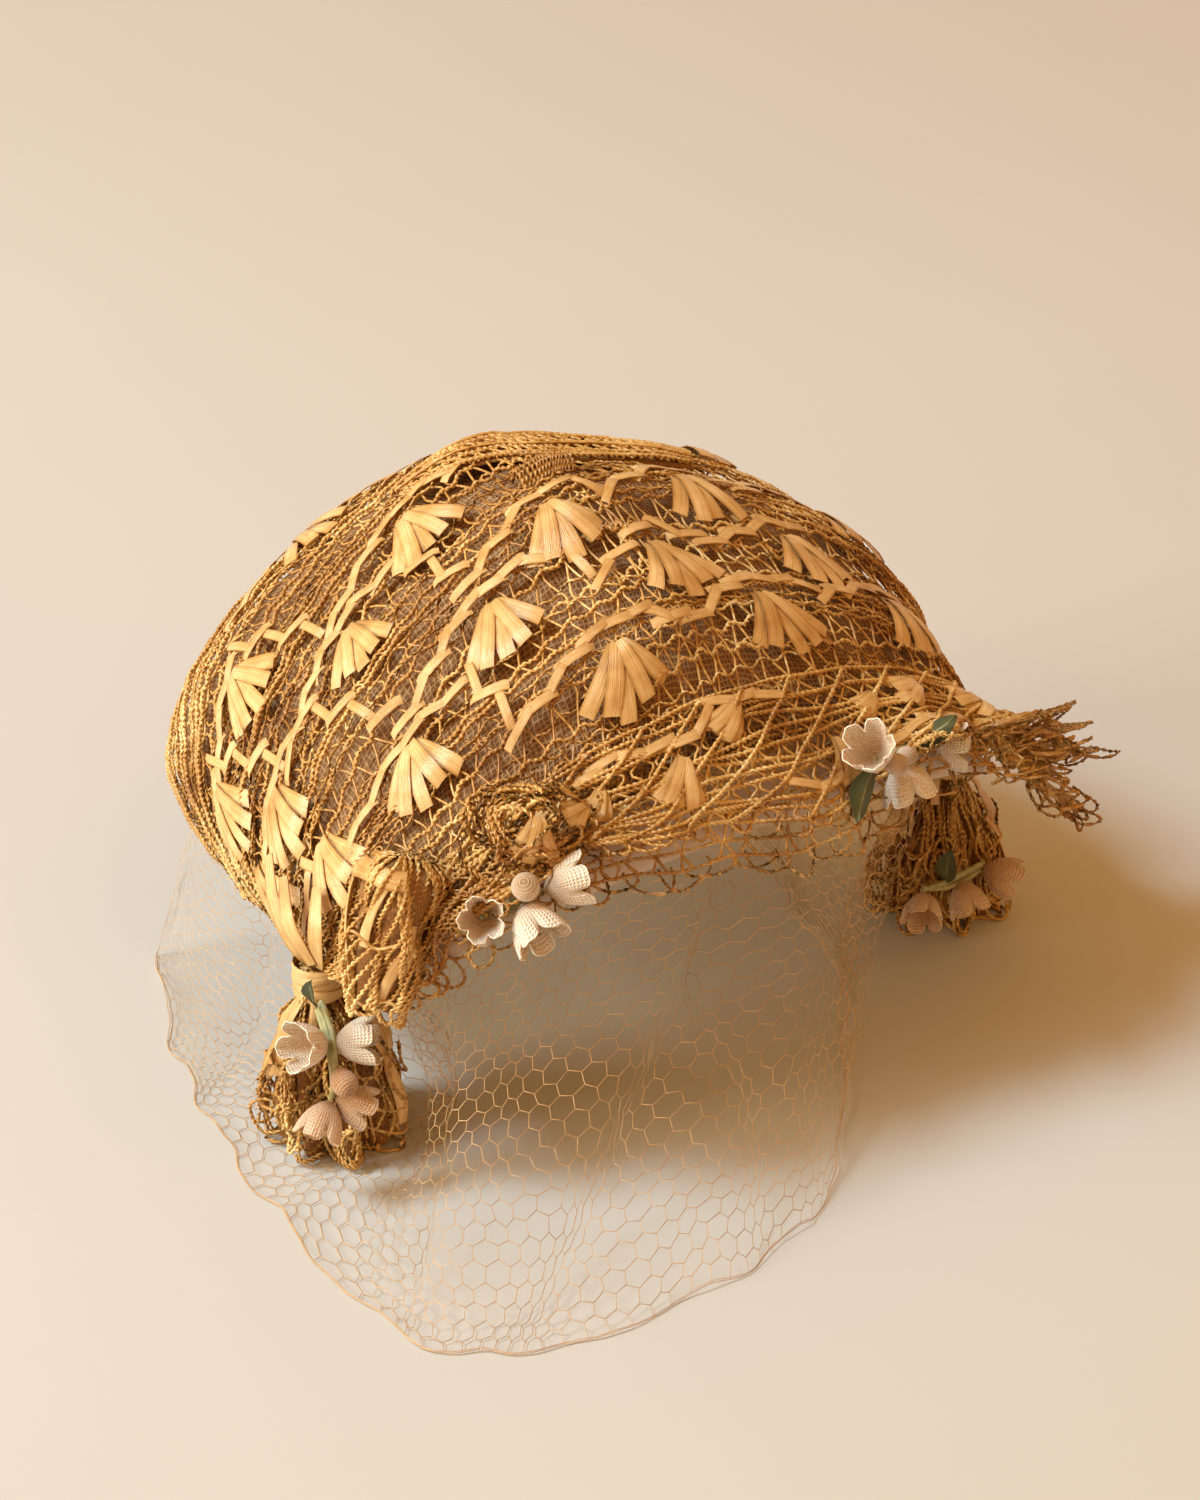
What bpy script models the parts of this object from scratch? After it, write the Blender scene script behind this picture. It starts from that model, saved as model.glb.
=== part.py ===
"""A half hat: a stiff net cap under straw lace, with a frill, tied tufts, fabric flowers and a veil.

Sizes are in metres. X runs from ear to ear, -Y is the front and the hat stands on z = 0.
"""
import math

import bmesh
import bpy
from mathutils import Matrix, Vector

# The cap: arches from ear to ear, fanned about the ears from the front edge to the rear rim
EAR_X = 0.092
EAR_Y = 0.003
EAR_Z = 0.048
MIDDLE_Y = 0.043
MIDDLE_Z = 0.046
MIDDLE_DEPTH = 0.093
MIDDLE_HEIGHT = 0.091
FRONT_ANGLE = 28.0
REAR_ANGLE = 166.0
SIDE_REACH = 0.975
SHOULDER = 1.12
SPREAD_FRONT = 0.50
SPREAD_REAR = 0.40
RISE_FRONT = 1.10
RISE_REAR = 0.86
CAP_WALL = 0.0012
CAP_COLUMNS = 20
CAP_ROWS = 13

# The lace over the cap
LACE_GAP = 0.0012
LACE_WALL = 0.0012
LACE_START = 0.065
LACE_WIDTH = 0.270
LACE_DEPTH = 0.205
LACE_CELLS = 10
LACE_ROWS = 9
LACE_STRAND = 0.0018
GATHERED_CELLS = 0.68

# The edge binding, the frill and the straw fans
BINDING_WALL = 0.0008
BINDING_DEPTH = 0.045
BINDING_GAP = 0.00035
BINDING_ROOM = 0.0007
FRILL_WALL = 0.0012
FRILL_START = 0.115
FRILL_END = 0.93
FRILL_LIFT = 0.0031
FRILL_COLUMNS = 44
FRILL_WAVES = 9
FRILL_WAVE = 0.0030
FAN_REACH = 0.020
FAN_SPREAD = 78.0
FAN_BLADES = 5
FAN_WALL = 0.0008
FAN_LIFT = 0.00085
FAN_ROOT = 0.0022
FAN_NOTCH = 0.60

# The tufts below the ears
TUFT_TOP = 0.0495
TUFT_WALL = 0.0018
TUFT_FLUTES = 7
TIE_RADIUS = 0.0014
TIE_REACH = 0.0070
TIE_HEIGHT = 0.0440

# The veil and the flowers
VEIL_WALL = 0.0010
VEIL_WIDTH = 0.480
VEIL_HEIGHT = 0.110
VEIL_CELLS = 20
VEIL_ROWS = 4
VEIL_STRAND = 0.0013
VEIL_DROP = 0.0046
STEM_RADIUS = 0.0007
FLOWER_GAP = 0.0006
BELL_LENGTH = 0.0105
BELL_WALL = 0.0008
BELL_RINGS = ((0.45, 0.0048, 0.0), (1.0, 0.0054, 0.0016))
BELL_CALYX = 0.0016
BUD_LENGTH = 0.0075
LEAF_LENGTH = 0.021
LEAF_WIDTH = 0.0042
LEAF_WALL = 0.0007

# The middle of the whole hat's box, which the origin stands under
BOX_MIDDLE_X = -0.0028
BOX_MIDDLE_Y = 0.01648

# Folds of the lace: where each lies along the cap at the left ear, the middle and the right ear
FOLDS = (
    # left, middle, right, height, width
    (0.30, 0.22, 0.16, 0.0022, 0.07),
    (0.46, 0.40, 0.32, 0.0030, 0.07),
    (0.62, 0.62, 0.52, 0.0026, 0.08),
    (0.80, 0.84, 0.74, 0.0022, 0.08),
)

# Straw fans on the lace: across and along the cap, and how far each is turned, in degrees
FANS = (
    # across, along, turn
    (-0.55, 0.25, 12),
    (-0.17, 0.17, 6),
    (0.24, 0.18, -4),
    (0.60, 0.20, -14),
    (-0.78, 0.30, 20),
    (-0.32, 0.31, 10),
    (0.09, 0.27, 0),
    (0.44, 0.28, -8),
    (-0.50, 0.48, 14),
    (-0.12, 0.37, 4),
    (0.29, 0.37, -6),
    (0.68, 0.42, -16),
    (-0.78, 0.47, 24),
    (-0.64, 0.68, 16),
    (0.08, 0.66, 0),
    (0.52, 0.60, -12),
    (-0.30, 0.78, 6),
    (0.32, 0.80, -6),
    (-0.02, 0.92, 0),
)

# The frill: how far its outer edge stands off the cap's front edge
FRILL_SECTIONS = (
    # across, outward, forward, down
    (-1.00, 0.002, 0.004, 0.004),
    (-0.80, 0.003, 0.010, 0.001),
    (-0.62, 0.000, 0.007, -0.007),
    (-0.40, 0.000, 0.007, -0.010),
    (-0.15, 0.000, 0.010, 0.000),
    (0.10, 0.000, 0.012, 0.009),
    (0.25, 0.000, 0.008, 0.000),
    (0.38, 0.000, 0.005, -0.011),
    (0.56, 0.002, 0.005, -0.011),
    (0.75, 0.014, 0.009, -0.004),
    (1.00, 0.027, 0.009, 0.006),
)

# Tufts: rings from the waist down to the floor
TUFT_RINGS = (
    # height (of the top), radius, flute
    (1.00, 0.0046, 0.0002),
    (0.86, 0.0048, 0.0003),
    (0.70, 0.0110, 0.0012),
    (0.48, 0.0155, 0.0020),
    (0.22, 0.0165, 0.0024),
    (0.00, 0.0140, 0.0020),
)
TUFTS = (
    # name, ear side, foot x, foot y, floor height
    ("left", -1, -0.0930, 0.0000, 0.0017),
    ("right", 1, 0.0940, 0.0020, 0.0000),
)

# The veil: where each section hangs on the cap's edge, the knee that it falls to and its place on the floor
VEIL_SECTIONS = (
    # across, along, knee x, knee y, knee z, hem x, hem y
    (-0.72, 0.970, -0.086, 0.096, 0.026, -0.093, 0.094),
    (-0.90, 0.960, -0.094, 0.066, 0.024, -0.107, 0.062),
    (-0.97, 0.800, -0.088, 0.040, 0.014, -0.113, 0.040),
    (-0.92, 0.450, -0.063, 0.012, 0.0006, -0.118, 0.012),
    (-0.90, 0.100, -0.063, -0.016, 0.0006, -0.121, -0.024),
    (-0.85, 0.030, -0.082, -0.030, 0.022, -0.121, -0.066),
    (-0.60, 0.030, -0.072, -0.036, 0.034, -0.112, -0.090),
    (-0.35, 0.030, -0.050, -0.040, 0.042, -0.088, -0.101),
    (-0.10, 0.030, -0.020, -0.042, 0.046, -0.058, -0.101),
    (0.15, 0.030, 0.012, -0.040, 0.046, -0.030, -0.097),
    (0.40, 0.030, 0.038, -0.034, 0.042, -0.004, -0.084),
    (0.65, 0.030, 0.054, -0.026, 0.036, 0.018, -0.060),
    (0.88, 0.030, 0.060, -0.012, 0.026, 0.036, -0.038),
    (0.96, 0.300, 0.064, 0.006, 0.020, 0.052, -0.012),
    (0.96, 0.800, 0.076, 0.036, 0.020, 0.062, 0.022),
    (0.88, 0.960, 0.080, 0.066, 0.022, 0.074, 0.058),
    (0.72, 0.970, 0.082, 0.094, 0.026, 0.084, 0.090),
)

# Sprays: the route of each stem, and what sits along it
SPRAYS = (
    ("front_left", ((-0.0765, -0.0325, 0.0735), (-0.0690, -0.0400, 0.0800), (-0.0610, -0.0450, 0.0850))),
    ("front_right", ((0.0540, -0.0383, 0.0830), (0.0430, -0.0448, 0.0885), (0.0310, -0.0505, 0.0925))),
    ("left_tuft", ((-0.0990, -0.0049, 0.0440), (-0.1020, -0.0160, 0.0380), (-0.1040, -0.0190, 0.0270))),
    ("right_tuft", ((0.0940, -0.0155, 0.0220), (0.0830, -0.0177, 0.0225), (0.0720, -0.0192, 0.0240))),
)
FLOWERS = (
    # spray, kind, station, toward x, toward y, toward z, size
    ("front_left", "bell", 0.98, 0.90, -0.35, 0.20, 1.00),
    ("front_left", "bell", 0.72, 0.05, -0.85, -0.45, 1.05),
    ("front_left", "bell", 0.30, -0.45, -0.70, 0.45, 0.85),
    ("front_left", "bud", 0.85, -0.40, -0.45, 0.80, 1.10),
    ("front_left", "bud", 0.18, 0.30, -0.70, -0.65, 0.80),
    ("front_right", "bell", 0.98, -0.55, -0.35, 0.75, 1.00),
    ("front_right", "bell", 0.00, 0.85, -0.50, -0.10, 0.95),
    ("front_right", "bell", 0.60, 0.05, -0.50, -0.85, 1.05),
    ("front_right", "bud", 0.88, 0.10, -0.98, 0.15, 0.90),
    ("front_right", "bud", 0.66, 0.25, -0.90, 0.30, 0.75),
    ("front_right", "leaf", 0.97, -0.72, -0.60, -0.40, 0.80),
    ("front_right", "leaf", 0.40, 0.55, -0.50, 0.70, 0.70),
    ("left_tuft", "bell", 0.40, -0.90, -0.15, 0.30, 0.95),
    ("left_tuft", "bell", 0.42, 0.80, -0.55, 0.10, 0.95),
    ("left_tuft", "bell", 0.98, -0.60, -0.35, -0.70, 0.90),
    ("left_tuft", "bell", 0.94, 0.70, -0.45, -0.55, 0.85),
    ("left_tuft", "bud", 0.66, 0.05, -0.95, -0.30, 1.05),
    ("left_tuft", "leaf", 0.03, -0.30, -0.35, 0.90, 0.60),
    ("right_tuft", "bell", 0.98, -0.55, -0.70, -0.40, 0.85),
    ("right_tuft", "bell", 0.40, 0.05, -0.60, -0.80, 0.85),
    ("right_tuft", "bell", 0.02, 0.70, -0.60, -0.40, 0.90),
    ("right_tuft", "leaf", 0.60, -0.20, -0.35, 0.90, 0.70),
)


def mix(first, second, share):
    return first + (second - first) * share


def cap_surface(across, along):
    """The cap's outer face: across runs from -1 to 1 between the ears, along from front edge to rear rim."""
    turn = math.pi / 2 * SIDE_REACH * across
    side, middle = math.sin(turn), math.cos(turn)
    climb = math.radians(mix(FRONT_ANGLE, REAR_ANGLE, along))
    crest_y = MIDDLE_Y - MIDDLE_DEPTH * math.cos(climb)
    crest_z = MIDDLE_Z + MIDDLE_HEIGHT * math.sin(climb)
    narrowing = mix(1.0, SHOULDER, math.sin(math.pi * min(max(along, 0.0), 1.0)))
    spread = middle ** mix(SPREAD_FRONT, SPREAD_REAR, along)
    rise = middle ** mix(RISE_FRONT, RISE_REAR, min(max(2.0 * along, 0.0), 1.0))
    return Vector((
        EAR_X * math.copysign(abs(side) ** narrowing, side),
        mix(EAR_Y, crest_y, spread),
        mix(EAR_Z, crest_z, rise),
    ))


def on_cap(across, along, lift=0.0):
    """A point raised from the cap's outer face along its normal."""
    step = 0.002
    wide = cap_surface(across + step, along) - cap_surface(across - step, along)
    deep = cap_surface(across, along + step) - cap_surface(across, along - step)
    return cap_surface(across, along) + wide.cross(deep).normalized() * lift


def fold_height(across, along):
    """How far the lace stands up in its folds, which run from ear to ear."""
    height = 0.0
    for left, middle, right, rise, width in FOLDS:
        end = left if across < 0 else right
        centre = mix(middle, end, across * across)
        height += rise * math.exp(-((along - centre) / width) ** 2)
    return height * math.cos(math.pi / 2 * across) ** 0.5 if abs(across) < 1 else 0.0


def section_at(rows, place):
    """The values of a table at a place from 0 to 1 along its rows, on a smooth curve through them."""
    reach = place * (len(rows) - 1)
    index = min(int(reach), len(rows) - 2)
    share = reach - index
    before, start, end, after = (rows[min(max(index + k, 0), len(rows) - 1)] for k in (-1, 0, 1, 2))
    return [
        0.5 * (2 * b + (c - a) * share + (2 * a - 5 * b + 4 * c - d) * share ** 2
               + (3 * b - 3 * c + d - a) * share ** 3)
        for a, b, c, d in zip(before, start, end, after)
    ]


def frill_offset(across):
    """The frill's reach past the front edge at a place across, between the rows of its table."""
    for (start, *low), (end, *high) in zip(FRILL_SECTIONS, FRILL_SECTIONS[1:]):
        if across <= end:
            share = (across - start) / (end - start)
            share = share * share * (3 - 2 * share)
            return [mix(a, b, share) for a, b in zip(low, high)]
    return list(FRILL_SECTIONS[-1][1:])


def bend(start, middle, end, share):
    """A curve that leaves start towards middle and comes from it to end."""
    return start * (1 - share) ** 2 + middle * 2 * share * (1 - share) + end * share ** 2


def drop(start, knee, end, share, rounding=0.2):
    """A straight fall from start to a rounded knee halfway, and a straight run on to end."""
    if share <= 0.5 - rounding:
        return start.lerp(knee, 2 * share)
    if share >= 0.5 + rounding:
        return knee.lerp(end, 2 * share - 1)
    before = start.lerp(knee, 1 - 2 * rounding)
    after = knee.lerp(end, 2 * rounding)
    return bend(before, knee, after, (share - 0.5 + rounding) / (2 * rounding))


def material(name, colour, roughness, metallic=0.0):
    finish = bpy.data.materials.new(name)
    finish.use_nodes = True
    shader = finish.node_tree.nodes["Principled BSDF"]
    shader.inputs["Base Color"].default_value = (*colour, 1.0)
    shader.inputs["Roughness"].default_value = roughness
    shader.inputs["Metallic"].default_value = metallic
    return finish


def add_piece(name, mesh, finish, place=None):
    """Names a mesh's object, gives it its finish and puts it under the hat's empty."""
    if not mesh.materials:
        mesh.materials.append(finish)
    piece = bpy.data.objects.new(name, mesh)
    hat.objects.link(piece)
    piece.parent = stand
    if place is not None:
        piece.matrix_local = place
    return piece


def mesh_of(shape, name):
    """A closed bmesh as a mesh, faces out."""
    bmesh.ops.recalc_face_normals(shape, faces=shape.faces)
    if shape.calc_volume(signed=True) < 0:
        bmesh.ops.reverse_faces(shape, faces=shape.faces)
    mesh = bpy.data.meshes.new(name)
    shape.to_mesh(mesh)
    shape.free()
    mesh.shade_smooth()
    mesh.set_sharp_from_angle(angle=math.radians(40))
    return mesh


def sheet(columns, rows, surface):
    """An open grid of faces laid on a surface, which takes two numbers from 0 to 1."""
    shape = bmesh.new()
    bmesh.ops.create_grid(shape, x_segments=columns, y_segments=rows, size=0.5)
    for vert in shape.verts:
        vert.co = surface(vert.co.x + 0.5, vert.co.y + 0.5)
    return shape


def thicken(shape, thickness, toward):
    """Gives an open sheet a wall on the side that toward, a function of a point, points to."""
    face = max(shape.faces, key=lambda f: f.calc_area())
    bmesh.ops.recalc_face_normals(shape, faces=shape.faces)
    face.normal_update()
    if face.normal.dot(toward(face.calc_center_median())) > 0:
        thickness = -thickness
    bmesh.ops.solidify(shape, geom=shape.faces, thickness=thickness)


def net(cells, rows, width, height, surface, strand, solid_beyond=2.0):
    """A sheet cut through in rows of six-sided cells, each row half a cell from the last.

    It is cut flat, width by height, and then laid on the surface. Cells further out than the share
    solid_beyond of its half width stay whole.
    """
    shape = bmesh.new()
    columns = 2 * cells
    bmesh.ops.create_grid(shape, x_segments=columns, y_segments=rows, size=0.5)
    column = {vert: round((vert.co.x + 0.5) * columns) for vert in shape.verts}
    row = {vert: round((vert.co.y + 0.5) * rows) for vert in shape.verts}
    spare = [
        edge for edge in shape.edges
        if column[edge.verts[0]] == column[edge.verts[1]]
        and 0 < column[edge.verts[0]] < columns
        and (column[edge.verts[0]] + min(row[v] for v in edge.verts)) % 2
    ]
    for vert in shape.verts:
        if 0 < row[vert] < rows:
            vert.co.y += (1 if (column[vert] + row[vert]) % 2 == 0 else -1) / (6 * rows)
    bmesh.ops.dissolve_edges(shape, edges=spare, use_verts=False)
    bmesh.ops.scale(shape, verts=shape.verts, vec=(width, height, 1))
    cut = [f for f in shape.faces if abs(f.calc_center_median().x) < solid_beyond * width / 2]
    bmesh.ops.inset_individual(shape, faces=cut, thickness=strand, use_even_offset=True)
    bmesh.ops.delete(shape, geom=cut, context="FACES_ONLY")
    for vert in shape.verts:
        vert.co = surface(vert.co.x / width + 0.5, vert.co.y / height + 0.5)
    return shape


def outward(point):
    return point - Vector((0.0, MIDDLE_Y, MIDDLE_Z))


def make_foundation():
    """The stiff net cap, thickened inward."""
    shape = sheet(CAP_COLUMNS, CAP_ROWS, lambda u, v: on_cap(2 * u - 1, v))
    thicken(shape, CAP_WALL, lambda p: -outward(p))
    add_piece("foundation", mesh_of(shape, "foundation"), net_finish)


def lace_surface(u, v):
    """The lace's inner face. Its cells narrow towards the ears, where the lace is gathered."""
    across = math.sin(math.pi / 2 * (2 * u - 1))
    along = mix(LACE_START, 0.985, v)
    return on_cap(across, along, LACE_GAP + fold_height(across, along))


def make_lace_cover():
    shape = net(LACE_CELLS, LACE_ROWS, LACE_WIDTH, LACE_DEPTH, lace_surface, LACE_STRAND, GATHERED_CELLS)
    thicken(shape, LACE_WALL, outward)
    add_piece("lace_cover", mesh_of(shape, "lace_cover"), lace_finish)


def make_top_fold():
    """A flap of lace that lies over the top like a leaf, its point to the right."""
    def surface(u, v):
        across = mix(-0.30, 0.36, u)
        along = mix(0.615, 0.500, u) + 0.045 * (2 * v - 1) * math.sin(math.pi * mix(0.06, 0.98, u)) ** 0.6
        ridge = 1 - (2 * v - 1) ** 2
        lift = LACE_GAP + LACE_WALL + fold_height(across, along) + mix(0.0008, 0.0050, ridge)
        return on_cap(across, along, lift)

    shape = sheet(8, 4, surface)
    thicken(shape, LACE_WALL, outward)
    add_piece("top_fold", mesh_of(shape, "top_fold"), lace_finish)


def make_edge_binding():
    """A pale band folded over the cap's front edge."""
    inner = -CAP_WALL - BINDING_ROOM
    reach = 1 - 2 / CAP_COLUMNS
    profile = ((BINDING_DEPTH, BINDING_GAP), (0.0, BINDING_GAP), (-0.006, mix(BINDING_GAP, inner, 0.5)),
               (0.0, inner), (BINDING_DEPTH, inner))

    def surface(u, v):
        along, lift = profile[round(v * (len(profile) - 1))]
        return on_cap(mix(-reach, reach, u), along, lift)

    shape = sheet(CAP_COLUMNS - 2, len(profile) - 1, surface)
    bmesh.ops.recalc_face_normals(shape, faces=shape.faces)
    top = max(shape.faces, key=lambda f: f.calc_center_median().z)
    toward = top.normal.dot(outward(top.calc_center_median()))
    bmesh.ops.solidify(shape, geom=shape.faces, thickness=-BINDING_WALL if toward > 0 else BINDING_WALL)
    add_piece("edge_binding", mesh_of(shape, "edge_binding"), binding_finish)


def frill_surface(u, v):
    """The frill's underside: it leaves the cap above the binding and waves out past the front edge."""
    across = mix(-FRILL_END, FRILL_END, u)
    side, forward, down = frill_offset(across)
    root = on_cap(across, FRILL_START, FRILL_LIFT + fold_height(across, FRILL_START))
    crest = on_cap(across, 0.01, FRILL_LIFT + 0.002)
    tip = on_cap(across, 0.0, 0.0) + Vector((side, -forward, -down))
    wave = FRILL_WAVE * v * v * math.sin(2 * math.pi * FRILL_WAVES * u)
    lifted = on_cap(across, 0.0, 1.0) - on_cap(across, 0.0, 0.0)
    return bend(root, crest, tip, v) + lifted * wave


def make_ruffle():
    shape = sheet(FRILL_COLUMNS, 3, frill_surface)
    thicken(shape, FRILL_WALL, lambda p: Vector((0, -0.5, 1)))
    add_piece("ruffle", mesh_of(shape, "ruffle"), lace_finish)


def make_tuft(name, side, foot_x, foot_y, floor):
    """The gathered end of the lace: a fluted bundle, open below, that stands on the floor."""
    waist = Vector((side * (EAR_X + 0.0020), EAR_Y, TUFT_TOP))
    foot = Vector((foot_x, foot_y, floor))

    def surface(u, v):
        height, radius, flute = TUFT_RINGS[round(v * (len(TUFT_RINGS) - 1))]
        turn = 2 * math.pi * u
        reach = radius + flute * math.cos(TUFT_FLUTES * turn)
        middle = foot.lerp(waist, height)
        return middle + Vector((reach * math.cos(turn), reach * math.sin(turn), 0))

    shape = sheet(2 * TUFT_FLUTES, len(TUFT_RINGS) - 1, surface)
    bmesh.ops.remove_doubles(shape, verts=shape.verts, dist=0.00005)
    axis_x = mix(foot_x, waist.x, 0.5)
    thicken(shape, TUFT_WALL, lambda p: Vector((axis_x, foot_y, p.z)) - p)
    for vert in shape.verts:
        if vert.co.z < floor + 0.003:
            vert.co.z = floor
    add_piece(f"{name}_tuft", mesh_of(shape, f"{name}_tuft"), lace_finish)
    height = (TIE_HEIGHT - floor) / (TUFT_TOP - floor)
    middle = foot.lerp(waist, height)
    tie = bmesh.new()
    circle = bmesh.ops.create_circle(tie, segments=5, radius=TIE_RADIUS)
    bmesh.ops.rotate(tie, verts=circle["verts"], matrix=Matrix.Rotation(math.pi / 2, 3, "X"))
    bmesh.ops.translate(tie, verts=circle["verts"], vec=(TIE_REACH, 0, 0))
    bmesh.ops.spin(tie, geom=tie.verts[:] + tie.edges[:], cent=(0, 0, 0), axis=(0, 0, 1),
                   angle=2 * math.pi, steps=12, use_merge=True)
    bmesh.ops.translate(tie, verts=tie.verts, vec=middle)
    add_piece(f"{name}_tie", mesh_of(tie, f"{name}_tie"), straw_finish)


def make_fan(number, across, along, turn):
    """Blades of flat straw that spread from one point, cut as one thin piece."""
    wide = (cap_surface(across + 0.01, along) - cap_surface(across - 0.01, along)).length / 0.02
    deep = (cap_surface(across, along + 0.01) - cap_surface(across, along - 0.01)).length / 0.02
    half = math.radians(FAN_SPREAD) / 2
    blade = 2 * half / FAN_BLADES
    outline = [(FAN_ROOT, -half)]
    for index in range(FAN_BLADES):
        middle = -half + blade * (index + 0.5)
        outline += [(FAN_REACH, middle - 0.42 * blade), (FAN_REACH, middle + 0.42 * blade)]
        if index < FAN_BLADES - 1:
            outline.append((FAN_NOTCH * FAN_REACH, middle + 0.5 * blade))
    outline.append((FAN_ROOT, half))
    slope = Matrix.Rotation(math.radians(turn), 3, "Z")
    shape = bmesh.new()
    corners = [(reach * math.sin(angle), reach * math.cos(angle) - 0.5 * FAN_REACH, 0)
               for reach, angle in outline]
    face = shape.faces.new([shape.verts.new(slope @ Vector(corner)) for corner in corners])
    flat = bmesh.ops.triangulate(shape, faces=[face])["faces"]
    raised = bmesh.ops.extrude_face_region(shape, geom=flat)["geom"]
    for vert in (v for v in raised if isinstance(v, bmesh.types.BMVert)):
        vert.co.z = FAN_WALL
    for vert in shape.verts:
        there = (across + vert.co.x / wide, along - vert.co.y / deep)
        lift = LACE_GAP + LACE_WALL + FAN_LIFT + fold_height(*there) + vert.co.z
        vert.co = on_cap(*there, lift)
    add_piece(f"straw_fan_{number:02d}", mesh_of(shape, "straw_fan"), straw_finish)


def veil_surface(u, v):
    """The veil: v runs from the cap's edge, where it hangs inside, down to the hem on the floor."""
    across, along, knee_x, knee_y, knee_z, hem_x, hem_y = section_at(VEIL_SECTIONS, u)
    top = on_cap(across, along, -VEIL_DROP)
    knee = Vector((knee_x, knee_y, knee_z))
    hem = Vector((hem_x, hem_y, 0.0))
    return drop(top, knee, hem, v)


def make_veil():
    shape = net(VEIL_CELLS, VEIL_ROWS, VEIL_WIDTH, VEIL_HEIGHT, veil_surface, VEIL_STRAND)
    thicken(shape, VEIL_WALL, lambda p: Vector((0, 0.2, 1)))
    for vert in shape.verts:
        vert.co.z = max(vert.co.z, 0.0)
    add_piece("veil", mesh_of(shape, "veil"), veil_finish)


def bell_mesh():
    """A fabric bell: a cup with a lobed rim, hanging down -Z from its calyx at the origin."""
    shape = bmesh.new()
    bmesh.ops.create_circle(shape, cap_ends=True, segments=8, radius=BELL_CALYX)
    rim = [e for e in shape.edges if e.is_boundary]
    for height, radius, lobe in BELL_RINGS:
        ring = bmesh.ops.extrude_edge_only(shape, edges=rim)["geom"]
        rim = [e for e in ring if isinstance(e, bmesh.types.BMEdge)]
        corners = [v for v in ring if isinstance(v, bmesh.types.BMVert)]
        corners.sort(key=lambda v: math.atan2(v.co.y, v.co.x))
        for index, vert in enumerate(corners):
            tip = index % 2
            flat = Vector((vert.co.x, vert.co.y, 0)).normalized() * (radius + lobe * tip)
            vert.co = (flat.x, flat.y, lobe * (1 - tip) - BELL_LENGTH * height)
    bmesh.ops.recalc_face_normals(shape, faces=shape.faces)
    cap = max(shape.faces, key=lambda f: f.calc_center_median().z)
    bmesh.ops.solidify(shape, geom=shape.faces, thickness=BELL_WALL if cap.normal.z > 0 else -BELL_WALL)
    return mesh_of(shape, "flower_bell")


def bud_mesh():
    """A pear-shaped bud, hanging down -Z from the origin."""
    shape = bmesh.new()
    bmesh.ops.create_uvsphere(shape, u_segments=7, v_segments=6, radius=BUD_LENGTH / 2)
    for vert in shape.verts:
        narrow = 0.82 - 0.10 * vert.co.z / (BUD_LENGTH / 2)
        vert.co = (vert.co.x * narrow, vert.co.y * narrow, vert.co.z - BUD_LENGTH / 2)
    return mesh_of(shape, "flower_bud")


def leaf_mesh():
    """A pointed leaf, folded a little along its rib, lying down -Z from the origin."""
    def surface(u, v):
        side = 2 * u - 1
        spread = LEAF_WIDTH * math.sin(math.pi * mix(0.06, 0.97, v)) ** 0.8
        bow = 0.0012 * abs(side) + 0.002 * math.sin(math.pi * v)
        return Vector((side * spread, bow, -LEAF_LENGTH * v))

    shape = sheet(2, 5, surface)
    bmesh.ops.recalc_face_normals(shape, faces=shape.faces)
    bmesh.ops.solidify(shape, geom=shape.faces, thickness=LEAF_WALL)
    return mesh_of(shape, "leaf")


def stem_point(route, station):
    reach = station * (len(route) - 1)
    index = min(int(reach), len(route) - 2)
    return Vector(route[index]).lerp(Vector(route[index + 1]), reach - index)


def make_stem(name, route):
    """The wired stem of one spray, a tube with filled ends."""
    curve = bpy.data.curves.new(f"flower_stem_{name}", "CURVE")
    curve.dimensions = "3D"
    curve.bevel_depth = STEM_RADIUS
    curve.bevel_resolution = 1
    curve.use_fill_caps = True
    line = curve.splines.new("POLY")
    line.points.add(len(route) - 1)
    for point, place in zip(line.points, route):
        point.co = (*place, 1.0)
    add_piece(f"flower_stem_{name}", curve, leaf_finish)


def make_flowers():
    """The bells, buds and leaves of every spray, each held off its stem by a hair's breadth."""
    kinds = {
        "bell": ("flower_bell", bell_mesh(), petal_finish),
        "bud": ("flower_bud", bud_mesh(), petal_finish),
        "leaf": ("leaf", leaf_mesh(), leaf_finish),
    }
    routes = dict(SPRAYS)
    counts = dict.fromkeys(kinds, 0)
    for name, route in SPRAYS:
        make_stem(name, route)
    for spray, kind, station, x, y, z, size in FLOWERS:
        toward = Vector((x, y, z)).normalized()
        counts[kind] += 1
        label, mesh, finish = kinds[kind]
        foot = stem_point(routes[spray], station) + toward * (STEM_RADIUS + FLOWER_GAP)
        turn = Vector((0, 0, -1)).rotation_difference(toward).to_matrix().to_4x4()
        add_piece(f"{label}_{counts[kind]:02d}", mesh, finish,
                  Matrix.Translation(foot) @ turn @ Matrix.Scale(size, 4))


for old in list(bpy.data.objects):
    bpy.data.objects.remove(old)

hat = bpy.data.collections.new("half_hat")
bpy.context.scene.collection.children.link(hat)
stand = bpy.data.objects.new("half_hat_frame", None)
stand.location = (-BOX_MIDDLE_X, -BOX_MIDDLE_Y, 0.0)
hat.objects.link(stand)

net_finish = material("stiff_net", (0.30, 0.22, 0.14), 0.85)
lace_finish = material("straw_lace", (0.62, 0.40, 0.14), 0.50)
straw_finish = material("flat_straw", (0.80, 0.58, 0.27), 0.35)
binding_finish = material("pale_binding", (0.62, 0.50, 0.42), 0.90)
veil_finish = material("veil_net", (0.58, 0.38, 0.20), 0.70)
petal_finish = material("fabric_petal", (0.90, 0.74, 0.62), 0.80)
leaf_finish = material("fabric_leaf", (0.10, 0.12, 0.05), 0.70)

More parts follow.
